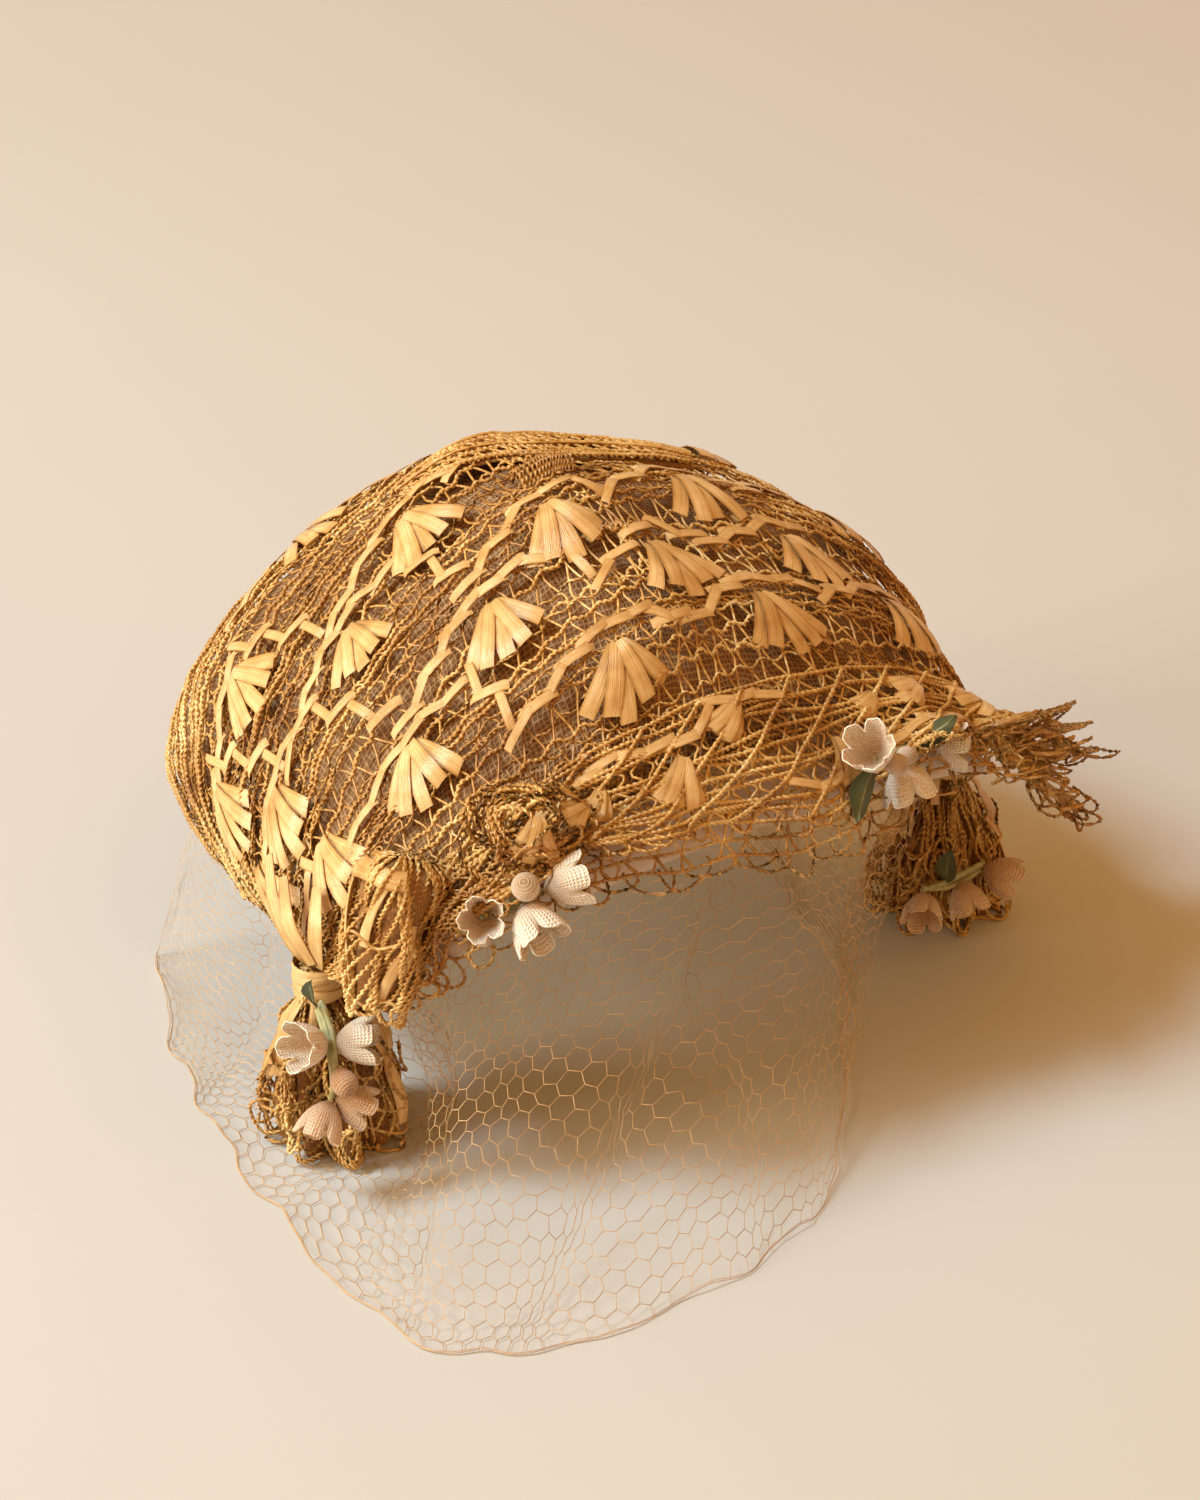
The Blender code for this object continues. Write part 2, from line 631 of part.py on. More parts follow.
make_foundation()
make_lace_cover()
make_top_fold()
make_edge_binding()
make_ruffle()
for tuft in TUFTS:
    make_tuft(*tuft)
for number, fan in enumerate(FANS, 1):
    make_fan(number, *fan)
make_veil()
make_flowers()
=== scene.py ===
"""A half hat of straw lace with a frill, tied tufts, cloth flowers and a veil, dressed over its solids.

Sizes are in metres. X runs from ear to ear, -Y is the front and the hat stands on z = 0.
"""
import math
import random

import bmesh
import bpy
from mathutils import Matrix, Vector, noise


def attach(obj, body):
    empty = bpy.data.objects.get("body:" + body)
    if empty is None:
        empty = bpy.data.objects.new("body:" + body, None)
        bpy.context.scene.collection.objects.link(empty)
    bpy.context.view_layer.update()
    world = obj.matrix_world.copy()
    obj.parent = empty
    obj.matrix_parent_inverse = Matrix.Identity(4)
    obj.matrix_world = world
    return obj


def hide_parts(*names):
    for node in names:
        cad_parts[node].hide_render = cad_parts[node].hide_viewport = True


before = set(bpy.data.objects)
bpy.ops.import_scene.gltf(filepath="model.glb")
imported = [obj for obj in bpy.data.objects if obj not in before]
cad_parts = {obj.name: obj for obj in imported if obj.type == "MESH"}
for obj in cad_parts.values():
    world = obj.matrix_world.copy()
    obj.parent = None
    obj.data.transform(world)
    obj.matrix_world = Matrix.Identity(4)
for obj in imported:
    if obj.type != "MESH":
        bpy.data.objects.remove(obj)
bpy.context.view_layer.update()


# The camera looks down on the hat from its front left, through a long lens, as a product picture is taken.
# Its place is set from a point of the hat and where that point stands in the picture of 1200 by 1500.
MIDDLE = Vector((0.0028, -0.01648, 0.0))
AZIMUTH = math.radians(-33)
ELEVATION = math.radians(31)
DISTANCE = 1.0
PIXEL = 0.000252
AIM = Vector((-0.008, 0.010, 0.052))
AIM_RIGHT = 3
AIM_BELOW = 88
SENSOR = 36
PICTURE_HEIGHT = 1500

back = Vector((
    math.sin(AZIMUTH) * math.cos(ELEVATION),
    -math.cos(AZIMUTH) * math.cos(ELEVATION),
    math.sin(ELEVATION),
))
right = Vector((math.cos(AZIMUTH), math.sin(AZIMUTH), 0))
above = back.cross(right)
lens = bpy.data.cameras.new("camera")
lens.sensor_fit = "VERTICAL"
lens.sensor_height = SENSOR
lens.lens = SENSOR * DISTANCE / (PIXEL * PICTURE_HEIGHT)
lens.clip_end = 20
camera = bpy.data.objects.new("camera", lens)
camera.matrix_world = Matrix.Translation(
    AIM + MIDDLE + back * DISTANCE - right * AIM_RIGHT * PIXEL + above * AIM_BELOW * PIXEL
) @ Matrix((right, above, back)).transposed().to_4x4()
bpy.context.scene.collection.objects.link(camera)
bpy.context.scene.camera = camera


# The foundation is a cap of stiff fine net, pressed over a block while damp and left to dry.
# It is arched from ear to ear, and the lace above lets it show as a grey-brown ground.
EAR = Vector((0.092, 0.003, 0.048))
CREST_Y, CREST_Z = 0.043, 0.046
CREST_DEPTH, CREST_HEIGHT = 0.093, 0.0875
FRONT_ANGLE, REAR_ANGLE = 28.0, 166.0
SIDE_REACH = 0.975
LEFT_SHOULDER, RIGHT_SHOULDER = 1.42, 1.52
LEFT_FALL, RIGHT_FALL = 1.50, 0.68
SPREAD_FRONT, SPREAD_REAR = 0.50, 0.40
RISE_FRONT, RISE_REAR = 1.10, 0.86
CAP_WALL = 0.0012
INLAND_FALL = 1.2
NET_THREADS = (620, 430, 1)
NET_SLANT = 0.12
NET_WANDER = 9.0


def mix(first, second, share):
    """The value a share of the way from the first to the second."""
    return first + (second - first) * share


def cap_surface(across, along):
    """The cap's outer face: across from -1 to 1 between the ears, along from front edge to rear rim."""
    turn = math.pi / 2 * SIDE_REACH * across
    side, middle = math.sin(turn), math.cos(turn)
    climb = math.radians(mix(FRONT_ANGLE, REAR_ANGLE, along))
    shoulder, fall = (LEFT_SHOULDER, LEFT_FALL) if across < 0 else (RIGHT_SHOULDER, RIGHT_FALL)
    inland = math.sin(math.pi * min(max(along, 0.0), 1.0)) ** INLAND_FALL
    narrowing, steeper = mix(1.0, shoulder, inland), mix(1.0, fall, inland)
    spread = middle ** mix(SPREAD_FRONT, SPREAD_REAR, along)
    rise = middle ** (steeper * mix(RISE_FRONT, RISE_REAR, min(max(2.0 * along, 0.0), 1.0)))
    return MIDDLE + Vector((
        EAR.x * math.copysign(abs(side) ** narrowing, side),
        mix(EAR.y, CREST_Y - CREST_DEPTH * math.cos(climb), spread),
        mix(EAR.z, CREST_Z + CREST_HEIGHT * math.sin(climb), rise),
    ))


def on_cap(across, along, lift=0.0):
    """A point raised from the cap's outer face along its normal."""
    across = min(max(across, -1.0), 1.0)
    wide = cap_surface(across + 0.002, along) - cap_surface(across - 0.002, along)
    deep = cap_surface(across, along + 0.002) - cap_surface(across, along - 0.002)
    return cap_surface(across, along) + wide.cross(deep).normalized() * lift


class Wire:
    """A shader socket that takes part in Python arithmetic, where each sum becomes a Math node."""

    def __init__(self, tree, socket=None):
        self.tree = tree
        self.socket = socket

    def node(self, kind, settings, inputs, output=0):
        """Any other node: its type, its settings, its inputs by name or number, and the output wanted."""
        made = self.tree.nodes.new(kind)
        for name, setting in settings.items():
            if name == "stops":
                while len(made.color_ramp.elements) < len(setting):
                    made.color_ramp.elements.new(1.0)
                for element, (place, colour) in zip(made.color_ramp.elements, setting):
                    element.position = place
                    element.color = (*colour, 1.0)
            else:
                setattr(made, name, setting)
        for name, value in inputs.items():
            if isinstance(value, Wire):
                self.tree.links.new(value.socket, made.inputs[name])
            else:
                made.inputs[name].default_value = value
        return Wire(self.tree, made.outputs[output])

    def maths(self, operation, first, second=0.0):
        """One Math node on wires or numbers."""
        return self.node("ShaderNodeMath", {"operation": operation}, {0: first, 1: second})

    def __add__(self, other):
        return self.maths("ADD", self, other)

    def __sub__(self, other):
        return self.maths("SUBTRACT", self, other)

    def __rsub__(self, other):
        return self.maths("SUBTRACT", other, self)

    def __mul__(self, other):
        return self.maths("MULTIPLY", self, other)

    def __pow__(self, other):
        return self.maths("POWER", self, other)

    __radd__ = __add__
    __rmul__ = __mul__


def new_finish(name, roughness, **sockets):
    """A material with its shader's numbers set, a wire to build on, and a call that plugs wires in."""
    finish = bpy.data.materials.new(name)
    finish.use_nodes = True
    shader = finish.node_tree.nodes["Principled BSDF"]
    shader.inputs["Roughness"].default_value = roughness
    for socket, value in sockets.items():
        shader.inputs[socket.replace("_", " ")].default_value = value

    def plug(socket, wire):
        finish.node_tree.links.new(wire.socket, shader.inputs[socket])

    return finish, Wire(finish.node_tree), plug


def grain(wire, scale, detail=3.0, stretch=(1, 1, 1), space="Object"):
    """Noise from 0 to 1 in a piece's own metres or on its UV map."""
    place = wire.node("ShaderNodeTexCoord", {}, {}, space)
    place = wire.node("ShaderNodeMapping", {}, {"Vector": place, "Scale": stretch})
    return wire.node("ShaderNodeTexNoise", {}, {"Vector": place, "Scale": scale, "Detail": detail})


def bump(wire, height, strength, distance):
    """A surface pressed in and out by a wire's value."""
    return wire.node("ShaderNodeBump", {}, {"Height": height, "Strength": strength, "Distance": distance})


def ramp(wire, value, *stops):
    """A colour that runs through stops, each a place from 0 to 1 and a colour, as the value grows."""
    return wire.node("ShaderNodeValToRGB", {"stops": stops}, {0: value})


def on_uv(wire, scale, turn=0.0):
    """A piece's UV map, scaled and turned."""
    place = wire.node("ShaderNodeTexCoord", {}, {}, "UV")
    return wire.node("ShaderNodeMapping", {}, {"Vector": place, "Scale": scale, "Rotation": (0, 0, turn)})


def uv_part(wire, axis=0):
    """One of the two numbers of a piece's UV map."""
    return wire.node("ShaderNodeSeparateXYZ", {}, {0: wire.node("ShaderNodeTexCoord", {}, {}, "UV")}, axis)


def show(name, mesh, finish, slot, *nodes):
    """Adds a finished mesh at the origin, rides it on the hat and hides the solids that it stands for."""
    piece = bpy.data.objects.new(name, mesh)
    bpy.context.scene.collection.objects.link(piece)
    if finish.name not in mesh.materials:
        mesh.materials.append(finish)
    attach(piece, "root")
    if nodes:
        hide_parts(*nodes)


def mesh_of(shape, name, sharp=50):
    """A bmesh as a smooth mesh with sharp corners."""
    mesh = bpy.data.meshes.new(name)
    shape.to_mesh(mesh)
    shape.free()
    mesh.shade_smooth()
    mesh.set_sharp_from_angle(angle=math.radians(sharp))
    return mesh


def new_shape():
    """An empty bmesh with a UV map."""
    shape = bmesh.new()
    shape.loops.layers.uv.new("map")
    return shape


def flat_grid(columns, rows):
    """A bmesh of a flat square grid, 1 by 1 about the origin, with a UV map."""
    shape = new_shape()
    bmesh.ops.create_grid(shape, x_segments=columns, y_segments=rows, size=0.5, calc_uvs=True)
    return shape


def thicken(shape, thickness):
    """Gives a sheet its thickness and turns its faces outwards."""
    bmesh.ops.solidify(shape, geom=shape.faces, thickness=thickness)
    bmesh.ops.recalc_face_normals(shape, faces=shape.faces)


stiff_net, wire, plug = new_finish("stiff_fine_net", 0.85)
place = on_uv(wire, NET_THREADS, NET_SLANT)
wander = wire.node("ShaderNodeTexNoise", {}, {"Vector": place, "Scale": 0.05, "Detail": 2.0}, 1)
wander = wire.node("ShaderNodeVectorMath", {"operation": "SCALE"}, {0: wander, "Scale": NET_WANDER})
place = wire.node("ShaderNodeVectorMath", {"operation": "ADD"}, {0: place, 1: wander})
weft, warp = (
    wire.maths("SINE", wire.node("ShaderNodeSeparateXYZ", {}, {0: place}, axis)) ** 2.0 for axis in (0, 1)
)
threads = wire.maths("MAXIMUM", weft, warp) ** 3.0
tone = grain(wire, 55.0)
ground = ramp(wire, tone, (0.3, (0.160, 0.078, 0.026)), (0.7, (0.290, 0.155, 0.058)))
thread = ramp(wire, tone, (0.3, (0.480, 0.260, 0.105)), (0.7, (0.660, 0.420, 0.215)))
plug("Base Color", wire.node("ShaderNodeMix", {"data_type": "RGBA"}, {0: threads, 6: ground, 7: thread}, 2))
plug("Normal", bump(wire, threads, 0.8, 0.0005))

shape = flat_grid(96, 72)
for vert in shape.verts:
    vert.co = on_cap(2 * vert.co.x, vert.co.y + 0.5)
thicken(shape, CAP_WALL)
show("net_cap", mesh_of(shape, "net_cap"), stiff_net, "stiff_net", "foundation")


# The lace over the cap is worked in two-ply straw cord: stout cords swag from ear to ear, thinner ones
# lie between them, and zigzag ties cross them all. It is drawn into four folds and gathered at the ears.
LACE_LIFT = 0.0016
FOLDS = (
    # left, middle, right, height, width
    (0.30, 0.22, 0.16, 0.0028, 0.07),
    (0.46, 0.40, 0.32, 0.0036, 0.07),
    (0.62, 0.60, 0.52, 0.0016, 0.08),
    (0.80, 0.84, 0.74, 0.0012, 0.08),
)
GATHER = 0.45
STOUT_CORDS = 33
CORD_RADIUS = 0.00060
THIN_RADIUS = 0.00042
TIE_RADIUS = 0.00034
CORD_PITCH = 0.0032
TIE_COLUMNS = 70
LACE_FROM, LACE_TO = 0.02, 1.0
CORD_SWAY = 0.006
CORD_WAVE = 0.0032
CORD_STRAY = 0.0010
STRAY_SEED = 2
TIE_REACH, TIE_WANDER = 0.010, 0.012
STOUT_POINTS, THIN_POINTS, TIE_POINTS = 420, 240, 190


def fold_height(across, along):
    """How far the lace stands up in its folds at a place, none at the ears."""
    height = 0.0
    for left, middle, far, rise, width in FOLDS:
        centre = mix(middle, left if across < 0 else far, across * across)
        height += rise * math.exp(-((along - centre) / width) ** 2)
    height += max(0.0, 0.0030 * noise.noise(Vector((across * 4.0, along * 6.0, 2.0))))
    return height * math.cos(math.pi / 2 * across) ** 0.5 if abs(across) < 1 else 0.0


def gathered(across, along):
    """Where a cord lies once the lace is drawn together in its folds."""
    for left, middle, far, rise, width in FOLDS:
        gap = along - mix(middle, left if across < 0 else far, across * across)
        along -= GATHER * gap * math.exp(-(gap / width) ** 2)
    return along


def on_lace(across, along, lift=0.0):
    """A point raised from the lace, folds included."""
    return on_cap(across, along, LACE_LIFT + fold_height(across, along) + lift)


# Blender's vector noise starts from the clock unless it is seeded, and then each run would stray otherwise.
noise.seed_set(STRAY_SEED)


def strayed(point, amount, scale=90.0):
    """A point pushed aside by smooth noise, so that no two cords lie alike."""
    return point + noise.noise_vector(point * scale) * amount


def ply_profile(radius):
    """The cross-section of two plies side by side, which a cord's tilt then twists."""
    outline = bpy.data.curves.new("two_plies", "CURVE")
    outline.dimensions = "2D"
    ring = outline.splines.new("POLY")
    corners = ((1.0, 0.50), (0.0, 0.22), (-1.0, 0.50), (-1.0, -0.50), (0.0, -0.22), (1.0, -0.50))
    ring.points.add(len(corners) - 1)
    for point, (x, y) in zip(ring.points, corners):
        point.co = (radius * x, radius * y, 0, 1)
    ring.use_cyclic_u = True
    return bpy.data.objects.new("two_plies", outline)


def cord_mesh(name, routes, radius, pitch=0.0, sides=0):
    """Cords along many routes as one mesh, twisted in two plies once a pitch or, with no pitch, round."""
    lines = bpy.data.curves.new(name, "CURVE")
    lines.dimensions = "3D"
    lines.use_fill_caps = True
    if pitch:
        profile = ply_profile(radius)
        lines.bevel_mode = "OBJECT"
        lines.bevel_object = profile
    else:
        lines.bevel_depth = radius
        lines.bevel_resolution = sides
    for route in routes:
        for point in route:
            point.z = max(point.z, radius)
        spline = lines.splines.new("POLY")
        spline.points.add(len(route) - 1)
        spline.points.foreach_set("co", [value for point in route for value in (*point, 1.0)])
        if pitch:
            reach, tilts = 0.0, [0.0]
            for first, second in zip(route, route[1:]):
                reach += (second - first).length
                tilts.append(2 * math.pi * reach / pitch)
            spline.points.foreach_set("tilt", tilts)
    holder = bpy.data.objects.new(name, lines)
    bpy.context.scene.collection.objects.link(holder)
    mesh = bpy.data.meshes.new_from_object(holder.evaluated_get(bpy.context.evaluated_depsgraph_get()))
    mesh.name = name
    mesh.materials.clear()
    bpy.data.objects.remove(holder)
    bpy.data.curves.remove(lines)
    if pitch:
        bpy.data.objects.remove(profile)
    mesh.shade_smooth()
    return mesh


def steps(first, last, count):
    """Evenly spaced values, both ends among them."""
    return [mix(first, last, index / (count - 1)) for index in range(count)]


def show_cords(name, routes, radius, *nodes, pitch=CORD_PITCH):
    """Adds cords of gold straw, twisted once a pitch or, as the plain ties are, not at all."""
    show(name, cord_mesh(name, routes, radius, pitch), gold_cord, "straw_lace", *nodes)


gold_cord, wire, plug = new_finish("gold_straw_cord", 0.36, Specular_IOR_Level=0.7)
shade = grain(wire, 45.0, 2.0) * 0.6 + grain(wire, 800.0, 2.0) * 0.4
plug("Base Color", ramp(wire, shade, (0.32, (0.290, 0.116, 0.020)), (0.45, (0.490, 0.250, 0.055)),
                        (0.56, (0.700, 0.440, 0.138)), (0.68, (0.920, 0.700, 0.335))))
plug("Normal", bump(wire, grain(wire, 2600.0, 2.0), 0.35, 0.0002))

stout, thin = [], []
for row in range(2 * STOUT_CORDS - 1):
    along = mix(LACE_FROM, LACE_TO, row / (2 * STOUT_CORDS - 2))
    route = []
    for across in steps(-1.0, 1.0, STOUT_POINTS if row % 2 == 0 else THIN_POINTS):
        sway = CORD_SWAY * math.sin(9 * across + 1.7 * row)
        sway += CORD_WAVE * math.sin(TIE_COLUMNS * math.pi / 2 * across + math.pi * row)
        where = gathered(across, along + sway)
        route.append(strayed(on_lace(across, where, 0.0001 + 0.0006 * (row % 3)), CORD_STRAY))
    (stout if row % 2 == 0 else thin).append(route)
ties = []
for column in range(TIE_COLUMNS):
    base = mix(-0.975, 0.975, (column + 0.5) / TIE_COLUMNS)
    route = []
    for along in steps(LACE_FROM, LACE_TO, TIE_POINTS):
        zigzag = math.asin(math.sin(along * math.pi * (STOUT_CORDS - 1) + column * math.pi))
        wander = TIE_WANDER * noise.noise(Vector((column * 1.3, along * 5.0, 0.0)))
        across = base + TIE_REACH * zigzag / 1.57 + wander
        route.append(strayed(on_lace(across, gathered(across, along), 0.0003), CORD_STRAY))
    ties.append(route)
half = len(stout) // 2
show_cords("lace_cords_front", stout[:half], CORD_RADIUS, "lace_cover")
show_cords("lace_cords_rear", stout[half:], CORD_RADIUS)
show_cords("lace_thin_cords", thin, THIN_RADIUS)
show_cords("lace_ties", ties, TIE_RADIUS, pitch=0.0)


# The fans are strips of flat straw, looped out and back from one stitch and spread like a hand.
# They lie in rows over the lace, each under an arch of short stepped stitches of the same straw.
FANS = (
    # across, along, turn
    (-0.55, 0.25, 12), (-0.17, 0.17, 6), (0.24, 0.18, -4), (0.60, 0.20, -14), (-0.78, 0.30, 20),
    (-0.32, 0.31, 10), (0.09, 0.27, 0), (0.44, 0.28, -8), (-0.50, 0.48, 14), (-0.12, 0.37, 4),
    (0.29, 0.37, -6), (0.68, 0.42, -16), (-0.78, 0.47, 24), (-0.64, 0.68, 16), (0.08, 0.66, 0),
    (0.52, 0.60, -12), (-0.30, 0.78, 6), (0.32, 0.80, -6), (-0.02, 0.92, 0),
)
FAN_REACH = 0.020
FAN_SPREAD = 84.0
BLADES = 5
BLADE_WIDTH = 0.0044
BLADE_LAYER, BLADE_RISE = 0.0007, 0.0008
STRAW_THICKNESS = 0.00025
STITCH_LENGTH = 0.0112
STITCH_WIDTH = 0.0025
STITCH_SPACING = 0.58
FLAT, ARCHED = 0.00008, 0.0002
BLADE_STATIONS = (
    # out along the blade, height in rises, share of the width
    (0.10, 0.0, 0.62), (0.20, 1.2, 0.74), (0.36, 1.9, 0.84), (0.56, 2.0, 0.94), (0.76, 1.7, 1.0),
    (0.92, 1.1, 1.0), (1.0, 0.45, 1.0), (0.985, -0.05, 1.0), (0.90, -0.3, 0.98),
)
STITCH_STATIONS = (
    # along half the stitch, height
    (-1.0, 0.0), (-0.75, 0.0007), (0.0, 0.0010), (0.75, 0.0009), (1.0, 0.0002),
)


def metres_on(surface, across, along):
    """How many metres one unit of across, and one of along, come to at a place of a surface."""
    wide = (surface(across + 0.01, along) - surface(across - 0.01, along)).length / 0.02
    deep = (surface(across, along + 0.01) - surface(across, along - 0.01)).length / 0.02
    return wide, deep


def spot_on(surface, across, along, turn):
    """A flat place on a surface: it takes metres right and down, turned, and a lift."""
    wide, deep = metres_on(surface, across, along)
    cosine, sine = math.cos(math.radians(turn)), math.sin(math.radians(turn))

    def spot(x, y, lift):
        return surface(across + (x * cosine - y * sine) / wide, along - (x * sine + y * cosine) / deep, lift)

    return spot


def ribbon(shape, spot, route, width, crown=FLAT):
    """A strip of flat straw along stations of right, down, lift and share of the width."""
    rows = len(route) - 1
    start = Vector((route[1][0] - route[0][0], route[1][1] - route[0][1]))
    grid = bmesh.ops.create_grid(shape, x_segments=4, y_segments=rows, size=0.5, calc_uvs=True)
    for vert in grid["verts"]:
        side = 2 * vert.co.x
        index = round((vert.co.y + 0.5) * rows)
        before, after = route[max(index - 1, 0)], route[min(index + 1, rows)]
        heading = Vector((after[0] - before[0], after[1] - before[1]))
        if heading.length < 1e-6 or index == rows:
            heading = start.copy()
        heading.normalize()
        if index >= 2 and heading.dot(start) < 0:
            heading = -heading
        x, y, lift, share = route[index]
        reach = side * share * width / 2
        vert.co = spot(x + heading.y * reach, y - heading.x * reach, lift + crown * (1 - side * side))


def add_fan(shape, spot, reach=FAN_REACH, spread=FAN_SPREAD, blades=BLADES, base=0.0006):
    """One fan of looped straw strips, spread like a hand, every other one a layer higher."""
    for index in range(blades):
        share = (index + 0.5) / blades * 2 - 1
        angle = math.radians(spread / 2 * share + random.uniform(-4, 4))
        long = reach * random.uniform(0.88, 1.06) * (1 - 0.08 * abs(share))
        over = base + BLADE_LAYER * (index % 2) + 0.0005 * (1 - abs(share))
        width = BLADE_WIDTH * (reach / FAN_REACH) ** 0.7 * random.uniform(0.92, 1.08)
        route = []
        for out, rise, wide in BLADE_STATIONS:
            bowed = angle * (0.86 + 0.20 * out)
            route.append((out * long * math.sin(bowed), out * long * math.cos(bowed) - reach / 2,
                          over + BLADE_RISE * rise, wide))
        ribbon(shape, spot, route, width, 0.0001)


def add_stitches(shape, surface, path, base=0.0010):
    """Short straw stitches stepped along a path of places, each lapping over the one before."""
    places = []
    for (a0, b0), (a1, b1) in zip(path, path[1:]):
        length = (surface(a1, b1) - surface(a0, b0)).length
        count = max(1, round(length / (STITCH_LENGTH * STITCH_SPACING)))
        places += [(mix(a0, a1, k / count), mix(b0, b1, k / count), a1 - a0, b1 - b0) for k in range(count)]
    places = [place for place in places if abs(place[0]) < 0.96]
    for index, (across, along, da, db) in enumerate(places):
        wide, deep = metres_on(surface, across, along)
        steep = math.atan2(-db * deep, da * wide)
        slope = steep * 0.8 + math.radians(random.uniform(-4, 4))
        slope += (0.14 + 0.5 * abs(math.sin(steep))) * (-1) ** index
        reach = STITCH_LENGTH / 2 * random.uniform(0.92, 1.05)
        route = [(k * reach * math.cos(slope), k * reach * math.sin(slope), base + lift, 1.0)
                 for k, lift in STITCH_STATIONS]
        ribbon(shape, spot_on(surface, across, along, 0), route, STITCH_WIDTH)


def show_straw(name, shape, *nodes):
    """Gives strips of flat straw their thickness and adds them as one piece."""
    thicken(shape, STRAW_THICKNESS)
    show(name, mesh_of(shape, name), flat_straw, "flat_straw", *nodes)


flat_straw, wire, plug = new_finish("satin_flat_straw", 0.30, Specular_IOR_Level=0.6)
streaks = grain(wire, 9.0, 4.0, (1.8, 0.16, 1.0), "UV")
patches = grain(wire, 130.0, 2.0)
# Each strip's two long edges are painted darker: painted shade for the thin dark outline between overlapping
# blades. The streaks and patches are the straw's own tone.
edge = (wire.maths("ABSOLUTE", uv_part(wire) - 0.5) * 2.0) ** 8.0
straw_tone_and_edge_shade = streaks * 0.55 + patches * 0.45 - edge * 0.20
plug("Base Color", ramp(wire, straw_tone_and_edge_shade, (0.25, (0.350, 0.162, 0.040)), (0.42, (0.590, 0.355, 0.118)),
                        (0.55, (0.770, 0.540, 0.238)), (0.70, (0.930, 0.760, 0.450))))
plug("Roughness", streaks * 0.25 + 0.16)
plug("Normal", bump(wire, streaks, 0.6, 0.0004))

random.seed(7)
for number, (across, along, turn) in enumerate(FANS, 1):
    shape = new_shape()
    add_fan(shape, spot_on(on_lace, across, along, turn))
    show_straw(f"fan_{number:02d}", shape, f"straw_fan_{number:02d}")

MORE_FANS = (
    # across, along, turn
    (-0.30, 0.53, 8), (-0.84, 0.67, 24), (-0.93, 0.49, 34), (0.76, 0.66, -20), (0.30, 0.56, -6),
)
GARLANDS = (
    # rows of fans that one run of stitches passes over
    ((-0.93, 0.49), (-0.78, 0.30), (-0.55, 0.25), (-0.17, 0.17), (0.24, 0.18), (0.60, 0.20)),
    ((-0.78, 0.47), (-0.32, 0.31), (0.09, 0.27), (0.44, 0.28)),
    ((-0.84, 0.67), (-0.50, 0.48), (-0.12, 0.37), (0.29, 0.37), (0.68, 0.42)),
    ((-0.64, 0.68), (-0.30, 0.53), (0.30, 0.56), (0.76, 0.66)),
    ((-0.30, 0.78), (0.08, 0.66), (0.52, 0.60)),
    ((-0.02, 0.92), (0.32, 0.80)),
)
ARCH = (
    # across and along from a fan's middle, over it from its left to its right
    (-0.200, 0.020), (-0.120, 0.036), (-0.025, 0.058), (0.065, 0.056), (0.150, 0.036),
)
ARCH_GAP = 0.03
shape = new_shape()
for across, along, turn in MORE_FANS:
    add_fan(shape, spot_on(on_lace, across, along, turn))
show_straw("side_fans", shape)
shape = new_shape()
for row in GARLANDS:
    path = []
    for across, along in row:
        arch = [(across + a, along + b) for a, b in ARCH]
        while path and path[-1][0] > arch[0][0] - ARCH_GAP:
            path.pop()
        path += arch
    add_stitches(shape, on_lace, path[:-1])
show_straw("garlands", shape)


# The edge binding is a pale woven tape, folded over the cap's front edge and stitched through.
BINDING_DEPTH = 0.045
BINDING_ROOM = 0.0011
BINDING_WALL = 0.0006
BINDING_DIP = 0.034
BINDING_REACH = 1.86

tape, wire, plug = new_finish("pale_woven_tape", 0.9, Sheen_Weight=0.2)
weave = wire.node("ShaderNodeTexWave", {"wave_type": "BANDS"}, {
    "Vector": on_uv(wire, (300.0, 14.0, 1.0)), "Scale": 1.0, "Distortion": 1.5, "Detail": 2.0}, 1)
plug("Base Color", ramp(wire, weave * 0.4 + grain(wire, 120.0) * 0.6,
                        (0.2, (0.610, 0.470, 0.360)), (0.8, (0.780, 0.640, 0.520))))
plug("Normal", bump(wire, weave, 0.4, 0.0002))

shape = flat_grid(90, 10)
for vert in shape.verts:
    turn = math.pi * 2 * vert.co.y
    straight = abs(turn) > math.pi / 2
    depth = (abs(turn) - math.pi / 2) / (math.pi / 2) * BINDING_DEPTH if straight else 0.0
    dip = 0.0 if straight else -BINDING_DIP * math.cos(turn)
    reach = math.copysign(1.0 if straight else abs(math.sin(turn)), turn)
    lift = mix(-CAP_WALL / 2, -CAP_WALL / 2 + BINDING_ROOM, reach)
    vert.co = on_cap(BINDING_REACH * vert.co.x, depth + dip, lift)
bmesh.ops.recalc_face_normals(shape, faces=shape.faces)
thicken(shape, -BINDING_WALL)
show("edge_tape", mesh_of(shape, "edge_tape"), tape, "pale_binding", "edge_binding")


# The frill is the free front border of the lace, gathered so that it waves out over the edge. Its rim is
# worked in loops, and shorter layers hang below it: one along the middle and two at the right end.
FRILL_START = 0.115
FRILL_END = 0.93
FRILL_LIFT = 0.0031
FRILL_WAVE = 0.0042
FRILL_CREST = 0.0055
FRILL_WANDER = 70.0
NET_LAYER = 0.0011
FRILL_SECTIONS = (
    # across, outward, forward, down
    (-1.00, 0.002, 0.004, 0.004), (-0.80, 0.003, 0.010, 0.001), (-0.62, 0.000, 0.007, -0.007),
    (-0.40, 0.000, 0.009, -0.012), (-0.15, 0.000, 0.012, -0.005), (0.10, 0.000, 0.014, 0.002),
    (0.25, 0.000, 0.012, -0.002), (0.38, 0.000, 0.010, -0.011), (0.56, 0.003, 0.010, -0.012),
    (0.75, 0.015, 0.010, -0.013), (1.00, 0.033, 0.010, -0.007),
)


def bend(start, middle, end, share):
    """A point of a soft bend from start to end, drawn towards the middle."""
    return start * (1 - share) ** 2 + middle * 2 * share * (1 - share) + end * share ** 2


